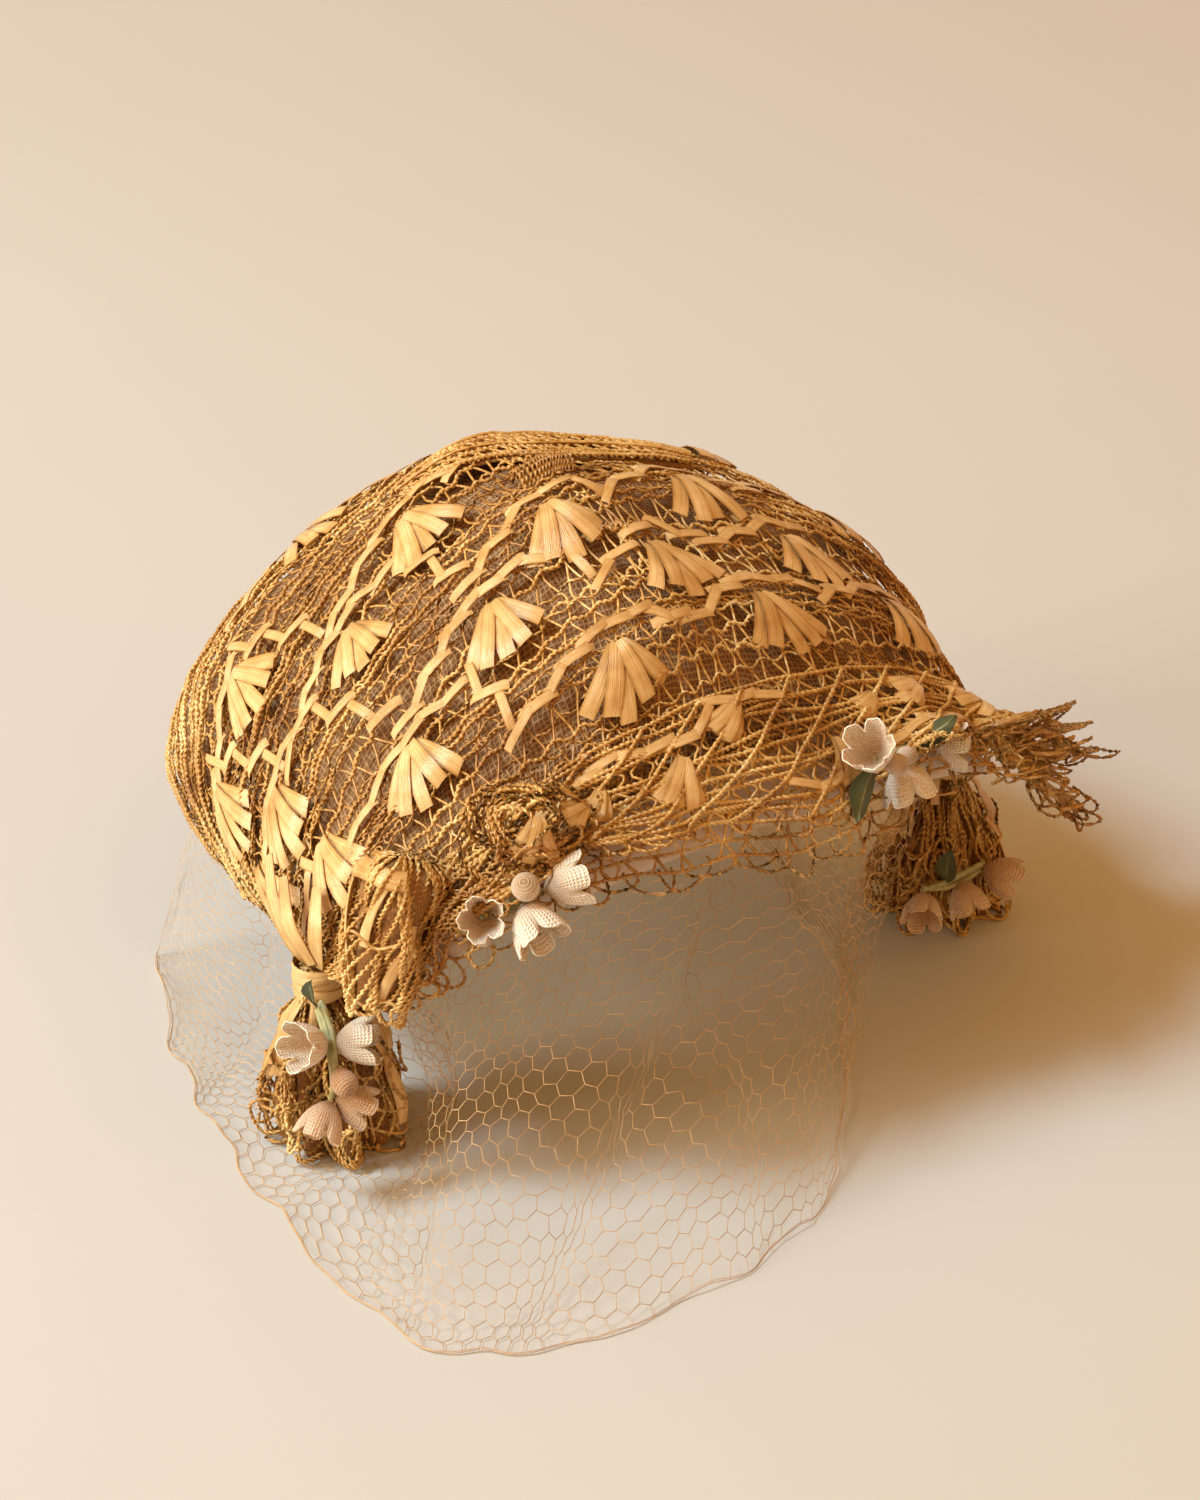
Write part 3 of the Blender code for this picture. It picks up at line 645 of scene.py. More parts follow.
def between_rows(table, place):
    """The values of a table at a place of its first column, eased from row to row."""
    for (start, *low), (end, *high) in zip(table, table[1:]):
        if place <= end:
            share = (place - start) / (end - start)
            share = share * share * (3 - 2 * share)
            return [mix(a, b, share) for a, b in zip(low, high)]
    return list(table[-1][1:])


def frill_layer(drop, waves, wave, phase, first=-FRILL_END, last=FRILL_END):
    """The surface of one layer of the frill, whose rim hangs lower by drop."""
    def surface(u, v, lift=0.0):
        across = mix(first, last, u)
        side, forward, down = between_rows(FRILL_SECTIONS, across)
        root = on_lace(across, FRILL_START, FRILL_LIFT - LACE_LIFT)
        crest = on_cap(across, 0.03, FRILL_LIFT + FRILL_CREST)
        tip = on_cap(across, 0.0, 0.0) + Vector((side, -forward, -down - drop(across)))
        raised = (on_cap(across, 0.0, 1.0) - on_cap(across, 0.0, 0.0)).normalized()
        height = wave * v * v * math.sin(2 * math.pi * waves * u + phase)
        height += 0.25 * wave * v * math.sin(2 * math.pi * 2.6 * waves * u + 1 + phase)
        return bend(root, crest, tip, v) + raised * (height + lift)

    return surface


def row_route(surface, level, sway, phase, count, stray, lift):
    """One lengthwise cord of a net. It wanders slowly across the net, so that the cords bunch and cross."""
    sway *= math.sin(math.pi * min(max(level, 0.12), 0.88))
    route = []
    for u in steps(0.0, 1.0, count):
        v = min(max(level + sway * math.sin(2 * math.pi * 1.4 * u + phase), 0.0), 1.0)
        route.append(strayed(surface(u, v, lift), stray, FRILL_WANDER))
    return route


def tie_route(surface, column, columns, rows, count, stray, first):
    """One tie of a net: it zigzags from cord to cord, meeting its neighbours on either side."""
    base = (column + 0.5) / columns
    route = []
    for v in steps(first, 1.0, count):
        u = base + 0.45 / columns * math.asin(math.sin(math.pi * rows * v + math.pi * column)) / 1.57
        u += 0.4 / columns * noise.noise(Vector((base * 90, v * 3.0, rows)))
        route.append(strayed(surface(min(max(u, 0.0), 1.0), v, 0.0003), stray, FRILL_WANDER))
    return route


def net_on(surface, rows, columns, sway, stray, counts, first=0.0):
    """The cords and ties of a net over a surface, from its level first down to its rim."""
    cords = []
    for row in range(rows):
        level, lift = mix(first, 1.0, row / (rows - 1)), NET_LAYER * random.random()
        cords.append(row_route(surface, level, sway, 2.4 * row, counts[0], stray, lift))
    ties = [tie_route(surface, column, columns, rows - 1, counts[1], stray, first)
            for column in range(columns)]
    return cords, ties


def rim_loops(surface, count, depth, rise=0.0):
    """Loops of cord along a net's rim, each lapping a little over the next."""
    loops = []
    for index in range(count):
        middle = (index + random.uniform(0.25, 0.75)) / count
        half = random.uniform(0.50, 0.95) / count
        reach = depth * random.uniform(0.7, 1.2)
        lean = random.uniform(-0.0015, 0.0015)
        route = []
        for turn in steps(-0.3, math.pi + 0.3, 14):
            u = min(max(middle + half * math.cos(turn), 0.0), 1.0)
            out = (surface(u, 1.0) - surface(u, 0.9)).normalized()
            swell = Vector((0, 0, (rise + lean) * math.sin(turn)))
            route.append(surface(u, 1.0) + out * reach * math.sin(turn) + swell)
        loops.append(route)
    return loops


def end_loops(surface, first, count, depth):
    """Loops at the right end of a net, where its cords turn back in pairs."""
    loops = []
    levels = steps(first, 1.0, count)
    for low, high in zip(levels, levels[1:]):
        start, finish = surface(1.0, low), surface(1.0, high)
        out = (start - surface(0.97, low)).normalized()
        middle = (start + finish) / 2 + out * depth * random.uniform(1.5, 2.3)
        middle.z += random.uniform(-0.003, 0.002)
        loops.append([bend(start, middle, finish, share) for share in steps(0.0, 1.0, 14)])
    return loops


def slanting_cord(start):
    """A cord that runs slantwise up the frill, from its rim to its root."""
    return [strayed(frill_top(min(start + 0.20 * share, 1.0), 1 - share, 0.0016), 0.0010, FRILL_WANDER)
            for share in steps(0.0, 1.0, 60)]


random.seed(5)
frill_top = frill_layer(lambda across: 0.0, 6, FRILL_WAVE, 0.0)
frill_low = frill_layer(lambda across: 0.010 + 0.012 * max(0.0, across) ** 3, 11, 0.0022, 1.4, -0.62, 0.80)
frill_side = frill_layer(lambda across: 0.017 + 0.030 * max(0.0, across - 0.6), 2, 0.0040, 0.6, 0.64, 0.98)
frill_end = frill_layer(lambda across: 0.009 + 0.010 * max(0.0, across - 0.8), 3, 0.0045, 2.2, 0.60, 0.91)
cords, ties = net_on(frill_top, 13, 74, 0.11, 0.0011, (330, 30))
low_cords, low_ties = net_on(frill_low, 6, 46, 0.06, 0.0014, (240, 18), 0.40)
side_cords, side_ties = net_on(frill_side, 10, 17, 0.05, 0.0020, (80, 36), 0.18)
slanting = [slanting_cord(start) for start in steps(0.02, 0.90, 15)]
loops = rim_loops(frill_top, 44, 0.0042) + rim_loops(frill_low, 24, 0.0046) + rim_loops(frill_side, 9, 0.0065)
loops += end_loops(frill_top, 0.0, 9, 0.0072) + end_loops(frill_side, 0.2, 6, 0.0060)
end_cords, end_ties = net_on(frill_end, 8, 16, 0.05, 0.0020, (80, 30), 0.30)
side_cords += end_cords
side_ties += end_ties
loops += rim_loops(frill_end, 9, 0.0060) + end_loops(frill_end, 0.3, 6, 0.0040)
show_cords("frill_cords", cords + slanting + side_cords[::2], CORD_RADIUS * 1.05, "ruffle")
show_cords("frill_ties", ties + low_ties + side_ties, TIE_RADIUS * 1.2, pitch=0.0)
show_cords("frill_loops", loops + low_cords + side_cords[1::2], THIN_RADIUS * 1.15)

FRILL_FANS = (
    # along the frill, out from its root, turn, size, spread
    (0.425, 0.50, 30, 0.72, 60), (0.50, 0.16, 50, 0.62, 46), (0.73, 0.22, 64, 0.70, 50),
    (0.60, 0.66, 10, 0.55, 50), (0.84, 0.30, 60, 0.75, 60), (0.92, 0.55, 70, 0.60, 50),
    (0.34, 0.40, 40, 0.55, 50), (0.66, 0.30, 58, 0.50, 40),
)
FRILL_PATHS = (
    ((0.30, 0.24), (0.36, 0.10), (0.44, 0.20), (0.50, 0.04), (0.58, 0.10)),
    ((0.54, 0.74), (0.60, 0.84), (0.66, 0.70), (0.72, 0.62), (0.80, 0.66)),
)


def turned_frill(a, b, lift=0.0):
    """The frill's top layer counted from its rim, so that what lies on it hangs outwards."""
    return frill_top(min(max(a, 0.0), 1.0), min(max(1 - b, 0.0), 1.0), lift)


shape = new_shape()
for u, v, turn, size, spread in FRILL_FANS:
    add_fan(shape, spot_on(turned_frill, u, 1 - v, turn), FAN_REACH * size, spread, 5, 0.0)
for path in FRILL_PATHS:
    add_stitches(shape, turned_frill, [(u, 1 - v) for u, v in path], 0.0006)
show_straw("frill_straw", shape)


# A rolled fold hangs at the left of the frill, where the lace was turned back on itself and caught down.
# Its cords run down it, straw strips lie between them, and it is open and dark on the side by the frill.
ROLL_START, ROLL_END = Vector((-0.0812, -0.0186, 0.0885)), Vector((-0.0938, -0.0246, 0.0536))
ROLL_RADIUS, ROLL_END_RADIUS = 0.0108, 0.0072
ROLL_CORDS = 52
ROLL_LIPS = -0.42, 1.50
ROLL_CLOSING = 0.26
ROLL_OUT = Vector((-0.45, -0.75, 0.45))
ROLL_GIRTH, ROLL_LENGTH = 0.045, 0.036
ROLL_STRAP_WIDTH, ROLL_BAND_WIDTH = 0.0021, 0.0042
ROLL_BAND_PLACE, ROLL_BAND_LEVEL = 0.40, 0.13
ROLL_STRAPS = (
    # round the roll, from and to down it, lean
    (0.30, 0.10, 0.60, 0.002), (0.46, 0.22, 0.84, -0.002), (0.16, 0.40, 0.92, 0.002),
)


def roll(u, v, lift=0.0):
    """The roll's surface: u goes round it from one lip of its opening to the other, v goes down it."""
    start, end = ROLL_START + MIDDLE, ROLL_END + MIDDLE
    axis = (end - start).normalized()
    outward = (ROLL_OUT - axis * ROLL_OUT.dot(axis)).normalized()
    side = axis.cross(outward)
    turn = mix(*ROLL_LIPS, u) * math.pi
    rounded = math.sqrt(1 - (1 - max(v, 0.004) / ROLL_CLOSING) ** 2) if v < ROLL_CLOSING else 1.0
    reach = mix(ROLL_RADIUS, ROLL_END_RADIUS, v) * (1 + 0.12 * math.sin(4 * turn + 5 * v)) * rounded + lift
    middle = start.lerp(end, v) + outward * 0.0020 * math.sin(math.pi * v)
    return middle + outward * 0.85 * reach * math.cos(turn) + side * reach * math.sin(turn)


def band_spot(x, y, lift):
    """A place on the straw band that crosses the roll near its top."""
    round_it = min(max(ROLL_BAND_PLACE + y / ROLL_GIRTH, 0.0), 1.0)
    return roll(round_it, ROLL_BAND_LEVEL + x / ROLL_LENGTH, lift)


def ground_sheet(name, surface, columns, rows, lift, *nodes):
    """A sheet of close lace under the cords of a fold."""
    shape = flat_grid(columns, rows)
    for vert in shape.verts:
        vert.co = surface(vert.co.x + 0.5, vert.co.y + 0.5, lift)
    thicken(shape, 0.0005)
    show(name, mesh_of(shape, name), packed_lace, "straw_lace", *nodes)


packed_lace, wire, plug = new_finish("packed_straw_lace", 0.7)
strands = grain(wire, 30.0, 4.0, (9.0, 1.0, 1.0), "UV")
plug("Base Color", ramp(wire, strands, (0.35, (0.170, 0.072, 0.018)), (0.55, (0.400, 0.190, 0.050)),
                        (0.75, (0.640, 0.360, 0.110))))
plug("Normal", bump(wire, strands, 0.8, 0.0006))

ground_sheet("roll_ground", roll, 30, 12, -0.0016)
down = [[strayed(roll(u + 0.05 * math.sin(6 * v + 40 * u), v, 0.0014 * math.sin(9 * v + 20 * u)), 0.0020)
         for v in steps(0.0, 1.0, 60)] for u in steps(0.0, 0.97, ROLL_CORDS)]
around = [[strayed(roll(u, min(level + 0.03 * math.sin(9 * math.pi * u), 1.0), 0.0004), 0.0008, 70.0)
           for u in steps(0.0, 1.0, 50)] for level in (0.55, 0.95)]
show_cords("roll_cords", down + rim_loops(roll, 9, 0.0032), CORD_RADIUS * 0.95)
show_cords("roll_ties", around, TIE_RADIUS * 1.3, pitch=0.0)
shape = new_shape()
for around_it, top, foot, lean in ROLL_STRAPS:
    def roll_spot(x, y, lift, around_it=around_it):
        return roll(min(max(around_it + x / ROLL_GIRTH, 0.0), 1.0), min(y / ROLL_LENGTH, 1.0), lift)

    route = [(lean * math.sin(2.6 * k - 1), mix(top, foot, k) * ROLL_LENGTH,
              0.0002 + 0.0010 * math.sin(math.pi * k), 1.0) for k in steps(0.0, 1.0, 12)]
    ribbon(shape, roll_spot, route, ROLL_STRAP_WIDTH, ARCHED)
route = [(0.0, y, 0.0012, 1.0) for y in steps(-0.009, 0.009, 12)]
ribbon(shape, band_spot, route, ROLL_BAND_WIDTH, ARCHED)
show_straw("roll_straw", shape)


# Beside the roll a corner of the lace is twisted into a small pocket: loops of cord wound round one
# another, with straw strips caught between them.
POCKET = Vector((-0.0570, -0.0315, 0.0935)) + MIDDLE
POCKET_LOOPS = 17
POCKET_OUT = Vector((-0.30, -0.72, 0.62)).normalized()
POCKET_DOME, POCKET_SPREAD = 0.0090, 0.0125
POCKET_FANS = (
    # right and down from the pocket's middle, turn, size
    (0.001, 0.004, 10, 0.62), (0.0120, -0.002, 60, 0.42),
)
pocket_wide = Vector((0, 0, 1)).cross(POCKET_OUT).normalized()
pocket_tall = POCKET_OUT.cross(pocket_wide)


def pocket_spot(x, y, lift):
    """A place on the pocket's domed face: metres right and down from its middle, and a lift."""
    dome = POCKET_DOME * math.exp(-(x * x + y * y) / POCKET_SPREAD ** 2)
    return POCKET + pocket_wide * x - pocket_tall * y + POCKET_OUT * (dome + lift)


random.seed(3)
loops = []
for index in range(POCKET_LOOPS):
    wide, tall = random.uniform(0.0070, 0.0155), random.uniform(0.0040, 0.0085)
    lean, x, y = random.uniform(-0.9, 0.9), random.uniform(-0.0050, 0.0050), random.uniform(-0.0030, 0.0030)
    height = random.uniform(0.0010, 0.0038)
    route = []
    for turn in steps(0.0, random.uniform(1.5, 2.1) * math.pi, 40):
        a = x + wide * math.cos(turn) * math.cos(lean) - tall * math.sin(turn) * math.sin(lean)
        b = y + wide * math.cos(turn) * math.sin(lean) + tall * math.sin(turn) * math.cos(lean)
        route.append(strayed(pocket_spot(a, b, height + 0.0016 * math.sin(2 * turn + index)), 0.0022))
    loops.append(route)
show_cords("pocket_cords", loops, CORD_RADIUS * 1.15)
shape = new_shape()
for x, y, turn, size in POCKET_FANS:
    cosine, sine = math.cos(math.radians(turn)), math.sin(math.radians(turn))

    def fan_spot(a, b, lift, x=x, y=y, cosine=cosine, sine=sine):
        return pocket_spot(x + a * cosine - b * sine, y + a * sine + b * cosine, lift)

    add_fan(shape, fan_spot, FAN_REACH * size, 60, 4, 0.0020)
show_straw("pocket_straw", shape)


# The flap on the top is a fold of the lace itself, pressed flat like a leaf, its cords running to a point.
# Before it the lace is ruched into a short row of upright loops.
FLAP_EDGE = 0.045
FLAP_LEFT, FLAP_RIGHT = -0.25, 0.42
RUCHED_LOOPS = 15


def flap(u, v, lift=0.0):
    """The flap's surface: u goes along it to its point, v from edge to edge."""
    across = mix(FLAP_LEFT, FLAP_RIGHT, u)
    along = mix(0.615, 0.500, u) + FLAP_EDGE * (2 * v - 1) * math.sin(math.pi * mix(0.06, 0.98, u)) ** 0.6
    ridge = 1 - (2 * v - 1) ** 2
    return on_lace(across, along, 0.0008 + 0.0022 * ridge + 0.0014 * u + lift)


ground_sheet("flap_ground", flap, 40, 10, -0.0008, "top_fold")
cords, ties = net_on(flap, 13, 34, 0.05, 0.0007, (150, 40))
show_cords("flap_cords", cords[::2], CORD_RADIUS)
show_cords("flap_ties", ties + cords[1::2], TIE_RADIUS * 1.2, pitch=0.0)
ruche = []
for index in range(RUCHED_LOOPS):
    across, lean = mix(-0.115, 0.085, index / (RUCHED_LOOPS - 1)), random.uniform(-0.012, 0.012)
    route = []
    for k in steps(0.0, 1.0, 16):
        rise = math.sin(math.pi * k)
        place = on_lace(across + lean * k + 0.006 * rise, 0.452 + 0.034 * k, 0.0010 + 0.0042 * rise)
        route.append(strayed(place, 0.0006))
    ruche.append(route)
show_cords("ruched_loops", ruche, CORD_RADIUS)


# The tufts are the two ends of the lace, gathered below each ear, bound with straw at the waist
# and left to spread on the table in folds, with loose strips and loops at the foot.
TUFT_TOP = 0.0495
TUFT_FLUTES = 7
TUFT_RINGS = (
    # share of the fall, radius, flute
    (0.00, 0.0046, 0.0002), (0.14, 0.0048, 0.0003), (0.30, 0.0092, 0.0014), (0.52, 0.0126, 0.0028),
    (0.78, 0.0140, 0.0036), (1.00, 0.0134, 0.0038),
)
TUFTS = (
    # name, ear side, foot x, foot y, floor height
    ("left", -1, -0.0930, 0.0000, 0.0017), ("right", 1, 0.0940, 0.0020, 0.0000),
)
WAIST_DROP = 0.0030
WAIST_OUT = 0.0020
TUFT_STRANDS = 84
WINDING_LEVELS = 0.50, 0.88
FRAYED_LOOPS = 56
WRAPS, WRAP_RADIUS, WRAP_PITCH = 6, 0.0058, 0.0012
STRIPS = (
    # round the tuft, from and to down it
    (0.50, 0.02, 0.50), (0.545, 0.10, 0.42), (0.455, 0.16, 0.60), (0.86, 0.40, 0.86),
    (0.62, 0.05, 0.26), (0.10, 0.10, 0.62), (0.26, 0.12, 0.70), (0.97, 0.20, 0.60),
)
STRIP_GIRTH = 0.075
STRIP_WIDTH, STRAP_WIDTH, WRAP_WIDTH = 0.0028, 0.0046, 0.0026
FLOOR_GAP = 0.0006
GROUND_SHRINK, GROUND_DEEPEN = 0.74, 1.4
EAR_STRAPS = (
    # the way of each strap over the ear to the waist, for the right side
    ((0.0950, 0.0240, 0.0700), (0.0990, 0.0150, 0.0625), (0.0985, 0.0065, 0.0545), (0.0945, 0.0030, 0.0480)),
    ((0.0960, 0.0150, 0.0690), (0.0995, 0.0070, 0.0610), (0.0965, 0.0015, 0.0510)),
    ((0.0925, 0.0050, 0.0700), (0.0965, -0.0005, 0.0600), (0.0950, 0.0010, 0.0500)),
)


def waist_of(side):
    """The middle of a tuft's bound waist."""
    return Vector((side * (EAR.x + WAIST_OUT), EAR.y, TUFT_TOP)) + MIDDLE


def tuft_surface(side, foot_x, foot_y, floor, shrink=1.0, deepen=1.0):
    """A tuft's fluted surface: u goes round it and v down it from the waist."""
    waist = waist_of(side)
    foot = Vector((foot_x, foot_y, floor)) + MIDDLE

    def surface(u, v, lift=0.0):
        radius, flute = between_rows(TUFT_RINGS, v)
        turn = 2 * math.pi * u
        reach = (radius + flute * deepen * math.cos(TUFT_FLUTES * turn)
                 + 0.10 * radius * math.sin(2 * turn + 3 * v)) * shrink - 0.0006 + lift
        point = waist.lerp(foot, v) + Vector((reach * math.cos(turn), reach * math.sin(turn), 0))
        point.z = max(point.z, FLOOR_GAP)
        return point

    return surface


def section_at(rows, place):
    """The values of a table at a place from 0 to 1 along its rows, on a smooth curve through them."""
    reach = min(max(place, 0.0), 1.0) * (len(rows) - 1)
    index = min(int(reach), len(rows) - 2)
    share = reach - index
    before, start, end, after = (rows[min(max(index + k, 0), len(rows) - 1)] for k in (-1, 0, 1, 2))
    return [
        0.5 * (2 * b + (c - a) * share + (2 * a - 5 * b + 4 * c - d) * share ** 2
               + (3 * b - 3 * c + d - a) * share ** 3)
        for a, b, c, d in zip(before, start, end, after)
    ]


def strap(points, out):
    """A flat place along a line of points, with its length: it takes metres right and down, and a lift."""
    points = [Vector(point) + MIDDLE for point in points]
    long = sum((second - first).length for first, second in zip(points, points[1:]))
    out = Vector(out).normalized()

    def place(distance):
        return Vector(section_at(points, distance / long))

    def spot(x, y, lift):
        along = (place(y + 0.0005) - place(y - 0.0005)).normalized()
        return place(y) + along.cross(out).normalized() * x + out * lift

    return spot, long


random.seed(11)
for name, side, foot_x, foot_y, floor in TUFTS:
    outer = tuft_surface(side, foot_x, foot_y, floor)
    inner = tuft_surface(side, foot_x, foot_y, floor, GROUND_SHRINK, GROUND_DEEPEN)
    ground_sheet(f"{name}_tuft_ground", inner, 84, 16, 0.0)
    down, across, frayed = [], [], []
    for strand in range(TUFT_STRANDS):
        turn, phase = strand / TUFT_STRANDS, random.uniform(0, 6.28)
        depth, end = random.uniform(0.0, 0.0022), random.uniform(0.8, 1.0)
        down.append([strayed(outer((turn + 0.024 * math.sin(5 * v + phase)) % 1.0, v,
                                   0.0006 - depth + 0.0010 * math.sin(9 * v + phase)), 0.0014, 110.0)
                     for v in steps(0.02, end, 40)])
    for level in WINDING_LEVELS:
        tilt, phase = random.uniform(0.04, 0.10), random.uniform(0, 6.28)
        route = []
        for u in steps(0.0, 1.0, 110):
            v = level + tilt * math.sin(2 * math.pi * u + phase) + 0.02 * math.sin(22 * math.pi * u)
            route.append(strayed(outer(u % 1.0, min(v, 1.0), 0.0), 0.0016))
        across.append(route)
    for _ in range(FRAYED_LOOPS):
        turn, level, wide = random.random(), random.uniform(0.45, 0.96), random.uniform(0.015, 0.045)
        frayed.append([strayed(outer((turn + wide * math.cos(t)) % 1.0, min(level + 0.10 * math.sin(t), 1.0),
                                     0.0004 + 0.0022 * math.sin(t / 2)), 0.0010, 110.0)
                       for t in steps(0.0, random.uniform(1.2, 2.0) * math.pi, 22)])
    show_cords(f"{name}_tuft_cords", down, CORD_RADIUS * 0.85, f"{name}_tuft")
    show_cords(f"{name}_tuft_ties", across, TIE_RADIUS * 1.3, pitch=0.0)
    show_cords(f"{name}_tuft_loops", frayed + rim_loops(outer, 15, 0.0026, 0.002), THIN_RADIUS * 1.2)
    shape = new_shape()
    for turn, top, foot in STRIPS:
        def strip_spot(x, y, lift, turn=turn, outer=outer):
            return outer((turn + x / STRIP_GIRTH) % 1.0, min(y / TUFT_TOP, 1.0), lift)

        lean = random.uniform(-0.0020, 0.0020)
        route = [(lean * math.sin(3 * k), mix(top, foot, k) * TUFT_TOP,
                  0.0008 + 0.0014 * math.sin(math.pi * k), mix(0.6, 1.0, min(3 * k, 1.0)))
                 for k in steps(0.0, 1.0, 10)]
        ribbon(shape, strip_spot, route, STRIP_WIDTH, ARCHED)
    for points in EAR_STRAPS:
        spot, long = strap([(side * x, y, z) for x, y, z in points], (side, -0.35, 0.15))
        route = [(0.0, long * k, 0.0006, 0.6 + 0.4 * math.sin(math.pi * k)) for k in steps(0.0, 1.0, 12)]
        ribbon(shape, spot, route, STRAP_WIDTH, 0.0001)
    show_straw(f"{name}_tuft_straw", shape)
    waist = waist_of(side)
    shape = new_shape()
    for wrap in range(WRAPS):
        tilt, lift = random.uniform(-0.0022, 0.0022), random.uniform(0.0, 0.0008)
        level = waist.z - WAIST_DROP + (wrap - (WRAPS - 1) / 2) * WRAP_PITCH

        def wrap_spot(x, y, lift, wrap=wrap, level=level, tilt=tilt, waist=waist):
            turn, reach = x / WRAP_RADIUS, WRAP_RADIUS + lift
            return Vector((waist.x + reach * math.cos(turn), waist.y + reach * math.sin(turn),
                           level - y + tilt * math.cos(turn + wrap)))

        route = [(x, 0.0, lift, 1.0) for x in steps(0.0, 2 * math.pi * WRAP_RADIUS, 20)]
        ribbon(shape, wrap_spot, route, WRAP_WIDTH, 0.0003)
    show_straw(f"{name}_tie_straw", shape, f"{name}_tie")


# The sprays are lily-of-the-valley bells of pressed cloth, white and, on the tufts, mostly aged to peach,
# each painted darker and warmer towards the throat as shade, with waxed buds, dipped leaves and wired stems
# wrapped in green paper.
# Two of the sprays sit on the frill, and one on each tuft.
SPRAYS = {
    # the stem from end to end, then each flower: its kind, place on the stem, way that it points, and size
    "front_left": (((-0.0765, -0.0325, 0.0735), (-0.0690, -0.0400, 0.0800), (-0.0610, -0.0450, 0.0850)), (
        ("bell", 0.98, (0.90, -0.35, 0.20), 1.00), ("bell", 0.72, (0.05, -0.85, -0.45), 1.05),
        ("bell", 0.30, (-0.45, -0.70, 0.45), 0.85), ("bud", 0.85, (-0.40, -0.45, 0.80), 1.10),
        ("bud", 0.18, (0.30, -0.70, -0.65), 0.80))),
    "front_right": (((0.0540, -0.0383, 0.0830), (0.0430, -0.0448, 0.0885), (0.0310, -0.0505, 0.0925)), (
        ("bell", 0.98, (-0.55, -0.35, 0.75), 1.00), ("bell", 0.00, (0.85, -0.50, -0.10), 0.95),
        ("bell", 0.60, (0.05, -0.50, -0.85), 1.05), ("bud", 0.88, (0.10, -0.98, 0.15), 0.90),
        ("bud", 0.66, (0.25, -0.90, 0.30), 0.75), ("leaf", 0.97, (-0.72, -0.60, -0.40), 0.80),
        ("leaf", 0.40, (0.55, -0.50, 0.70), 0.70))),
    "left_tuft": (((-0.0990, -0.0049, 0.0440), (-0.1020, -0.0160, 0.0380), (-0.1040, -0.0190, 0.0270)), (
        ("bell", 0.40, (-0.90, -0.15, 0.30), 0.95), ("bell", 0.42, (0.80, -0.55, 0.10), 0.95),
        ("bell", 0.98, (-0.60, -0.35, -0.70), 0.90), ("bell", 0.94, (0.70, -0.45, -0.55), 0.85),
        ("bud", 0.66, (0.05, -0.95, -0.30), 1.05), ("leaf", 0.03, (-0.30, -0.35, 0.90), 0.60))),
    "right_tuft": (((0.0940, -0.0155, 0.0220), (0.0830, -0.0177, 0.0225), (0.0720, -0.0192, 0.0240)), (
        ("bell", 0.98, (-0.55, -0.70, -0.40), 0.85), ("bell", 0.40, (0.05, -0.60, -0.80), 0.85),
        ("bell", 0.02, (0.70, -0.60, -0.40), 0.90), ("leaf", 0.60, (-0.20, -0.35, 0.90), 0.70))),
}
STEM_STRANDS = Vector(), Vector((0.0004, -0.0006, 0.0010)), Vector((-0.0006, -0.0004, -0.0012))
STEM_RADIUS = 0.0007
FLOWER_GAP = 0.0006
BELL_LENGTH = 0.0105
BUD_LENGTH = 0.0075
BELL_RADIUS = 0.0048
PETAL_WALL, LEAF_WALL = 0.0003, 0.00035
LEAF_LENGTH, LEAF_WIDTH = 0.021, 0.0042
PETALS = 5


def bell_shape():
    """A cup of five cloth petals, its calyx at the origin and its mouth down -Z."""
    shape = flat_grid(50, 9)
    for vert in shape.verts:
        turn, fall = 2 * math.pi * vert.co.x, vert.co.y + 0.5
        lobe = min(1.0, 1.15 * abs(math.cos(PETALS * turn / 2)) ** 0.5)
        radius = 0.0009 + BELL_RADIUS * math.sin(min(fall * 1.75, 1.57)) ** 0.8
        radius += fall ** 3 * (0.0012 * lobe - 0.0004) + 0.00035 * fall * math.cos(PETALS * turn)
        radius += fall ** 3 * 0.00022 * math.sin(3 * PETALS * turn + 1)
        depth = BELL_LENGTH * fall * (0.72 + 0.28 * lobe * fall ** 2)
        vert.co = (radius * math.cos(turn), radius * math.sin(turn), -depth)
    bmesh.ops.remove_doubles(shape, verts=shape.verts, dist=0.00002)
    bmesh.ops.recalc_face_normals(shape, faces=shape.faces)
    thicken(shape, PETAL_WALL)
    return shape


def bud_shape():
    """A waxed bud, pear-shaped, with the petals' seams pressed in."""
    shape = new_shape()
    bmesh.ops.create_uvsphere(shape, u_segments=30, v_segments=18, radius=BUD_LENGTH / 2, calc_uvs=True)
    for vert in shape.verts:
        turn, rise = math.atan2(vert.co.y, vert.co.x), vert.co.z / (BUD_LENGTH / 2)
        narrow = (0.84 - 0.14 * rise) * (1 - 0.05 * abs(math.sin(1.5 * turn)) ** 0.3 * (1 - rise * rise))
        vert.co = (vert.co.x * narrow, vert.co.y * narrow, vert.co.z - BUD_LENGTH / 2)
    return shape


def leaf_shape():
    """A pointed leaf with its midrib pressed in, from its stalk at the origin down -Z."""
    shape = flat_grid(10, 24)
    for vert in shape.verts:
        side, fall = 2 * vert.co.x, vert.co.y + 0.5
        spread = LEAF_WIDTH * math.sin(math.pi * mix(0.03, 0.995, fall)) ** 0.8
        bow = 0.0014 * abs(side) ** 0.8 + 0.0020 * math.sin(math.pi * fall)
        bow += 0.0003 * math.sin(9 * fall + 3 * side)
        vert.co = (side * spread, bow, -LEAF_LENGTH * fall)
    bmesh.ops.recalc_face_normals(shape, faces=shape.faces)
    thicken(shape, LEAF_WALL)
    return shape


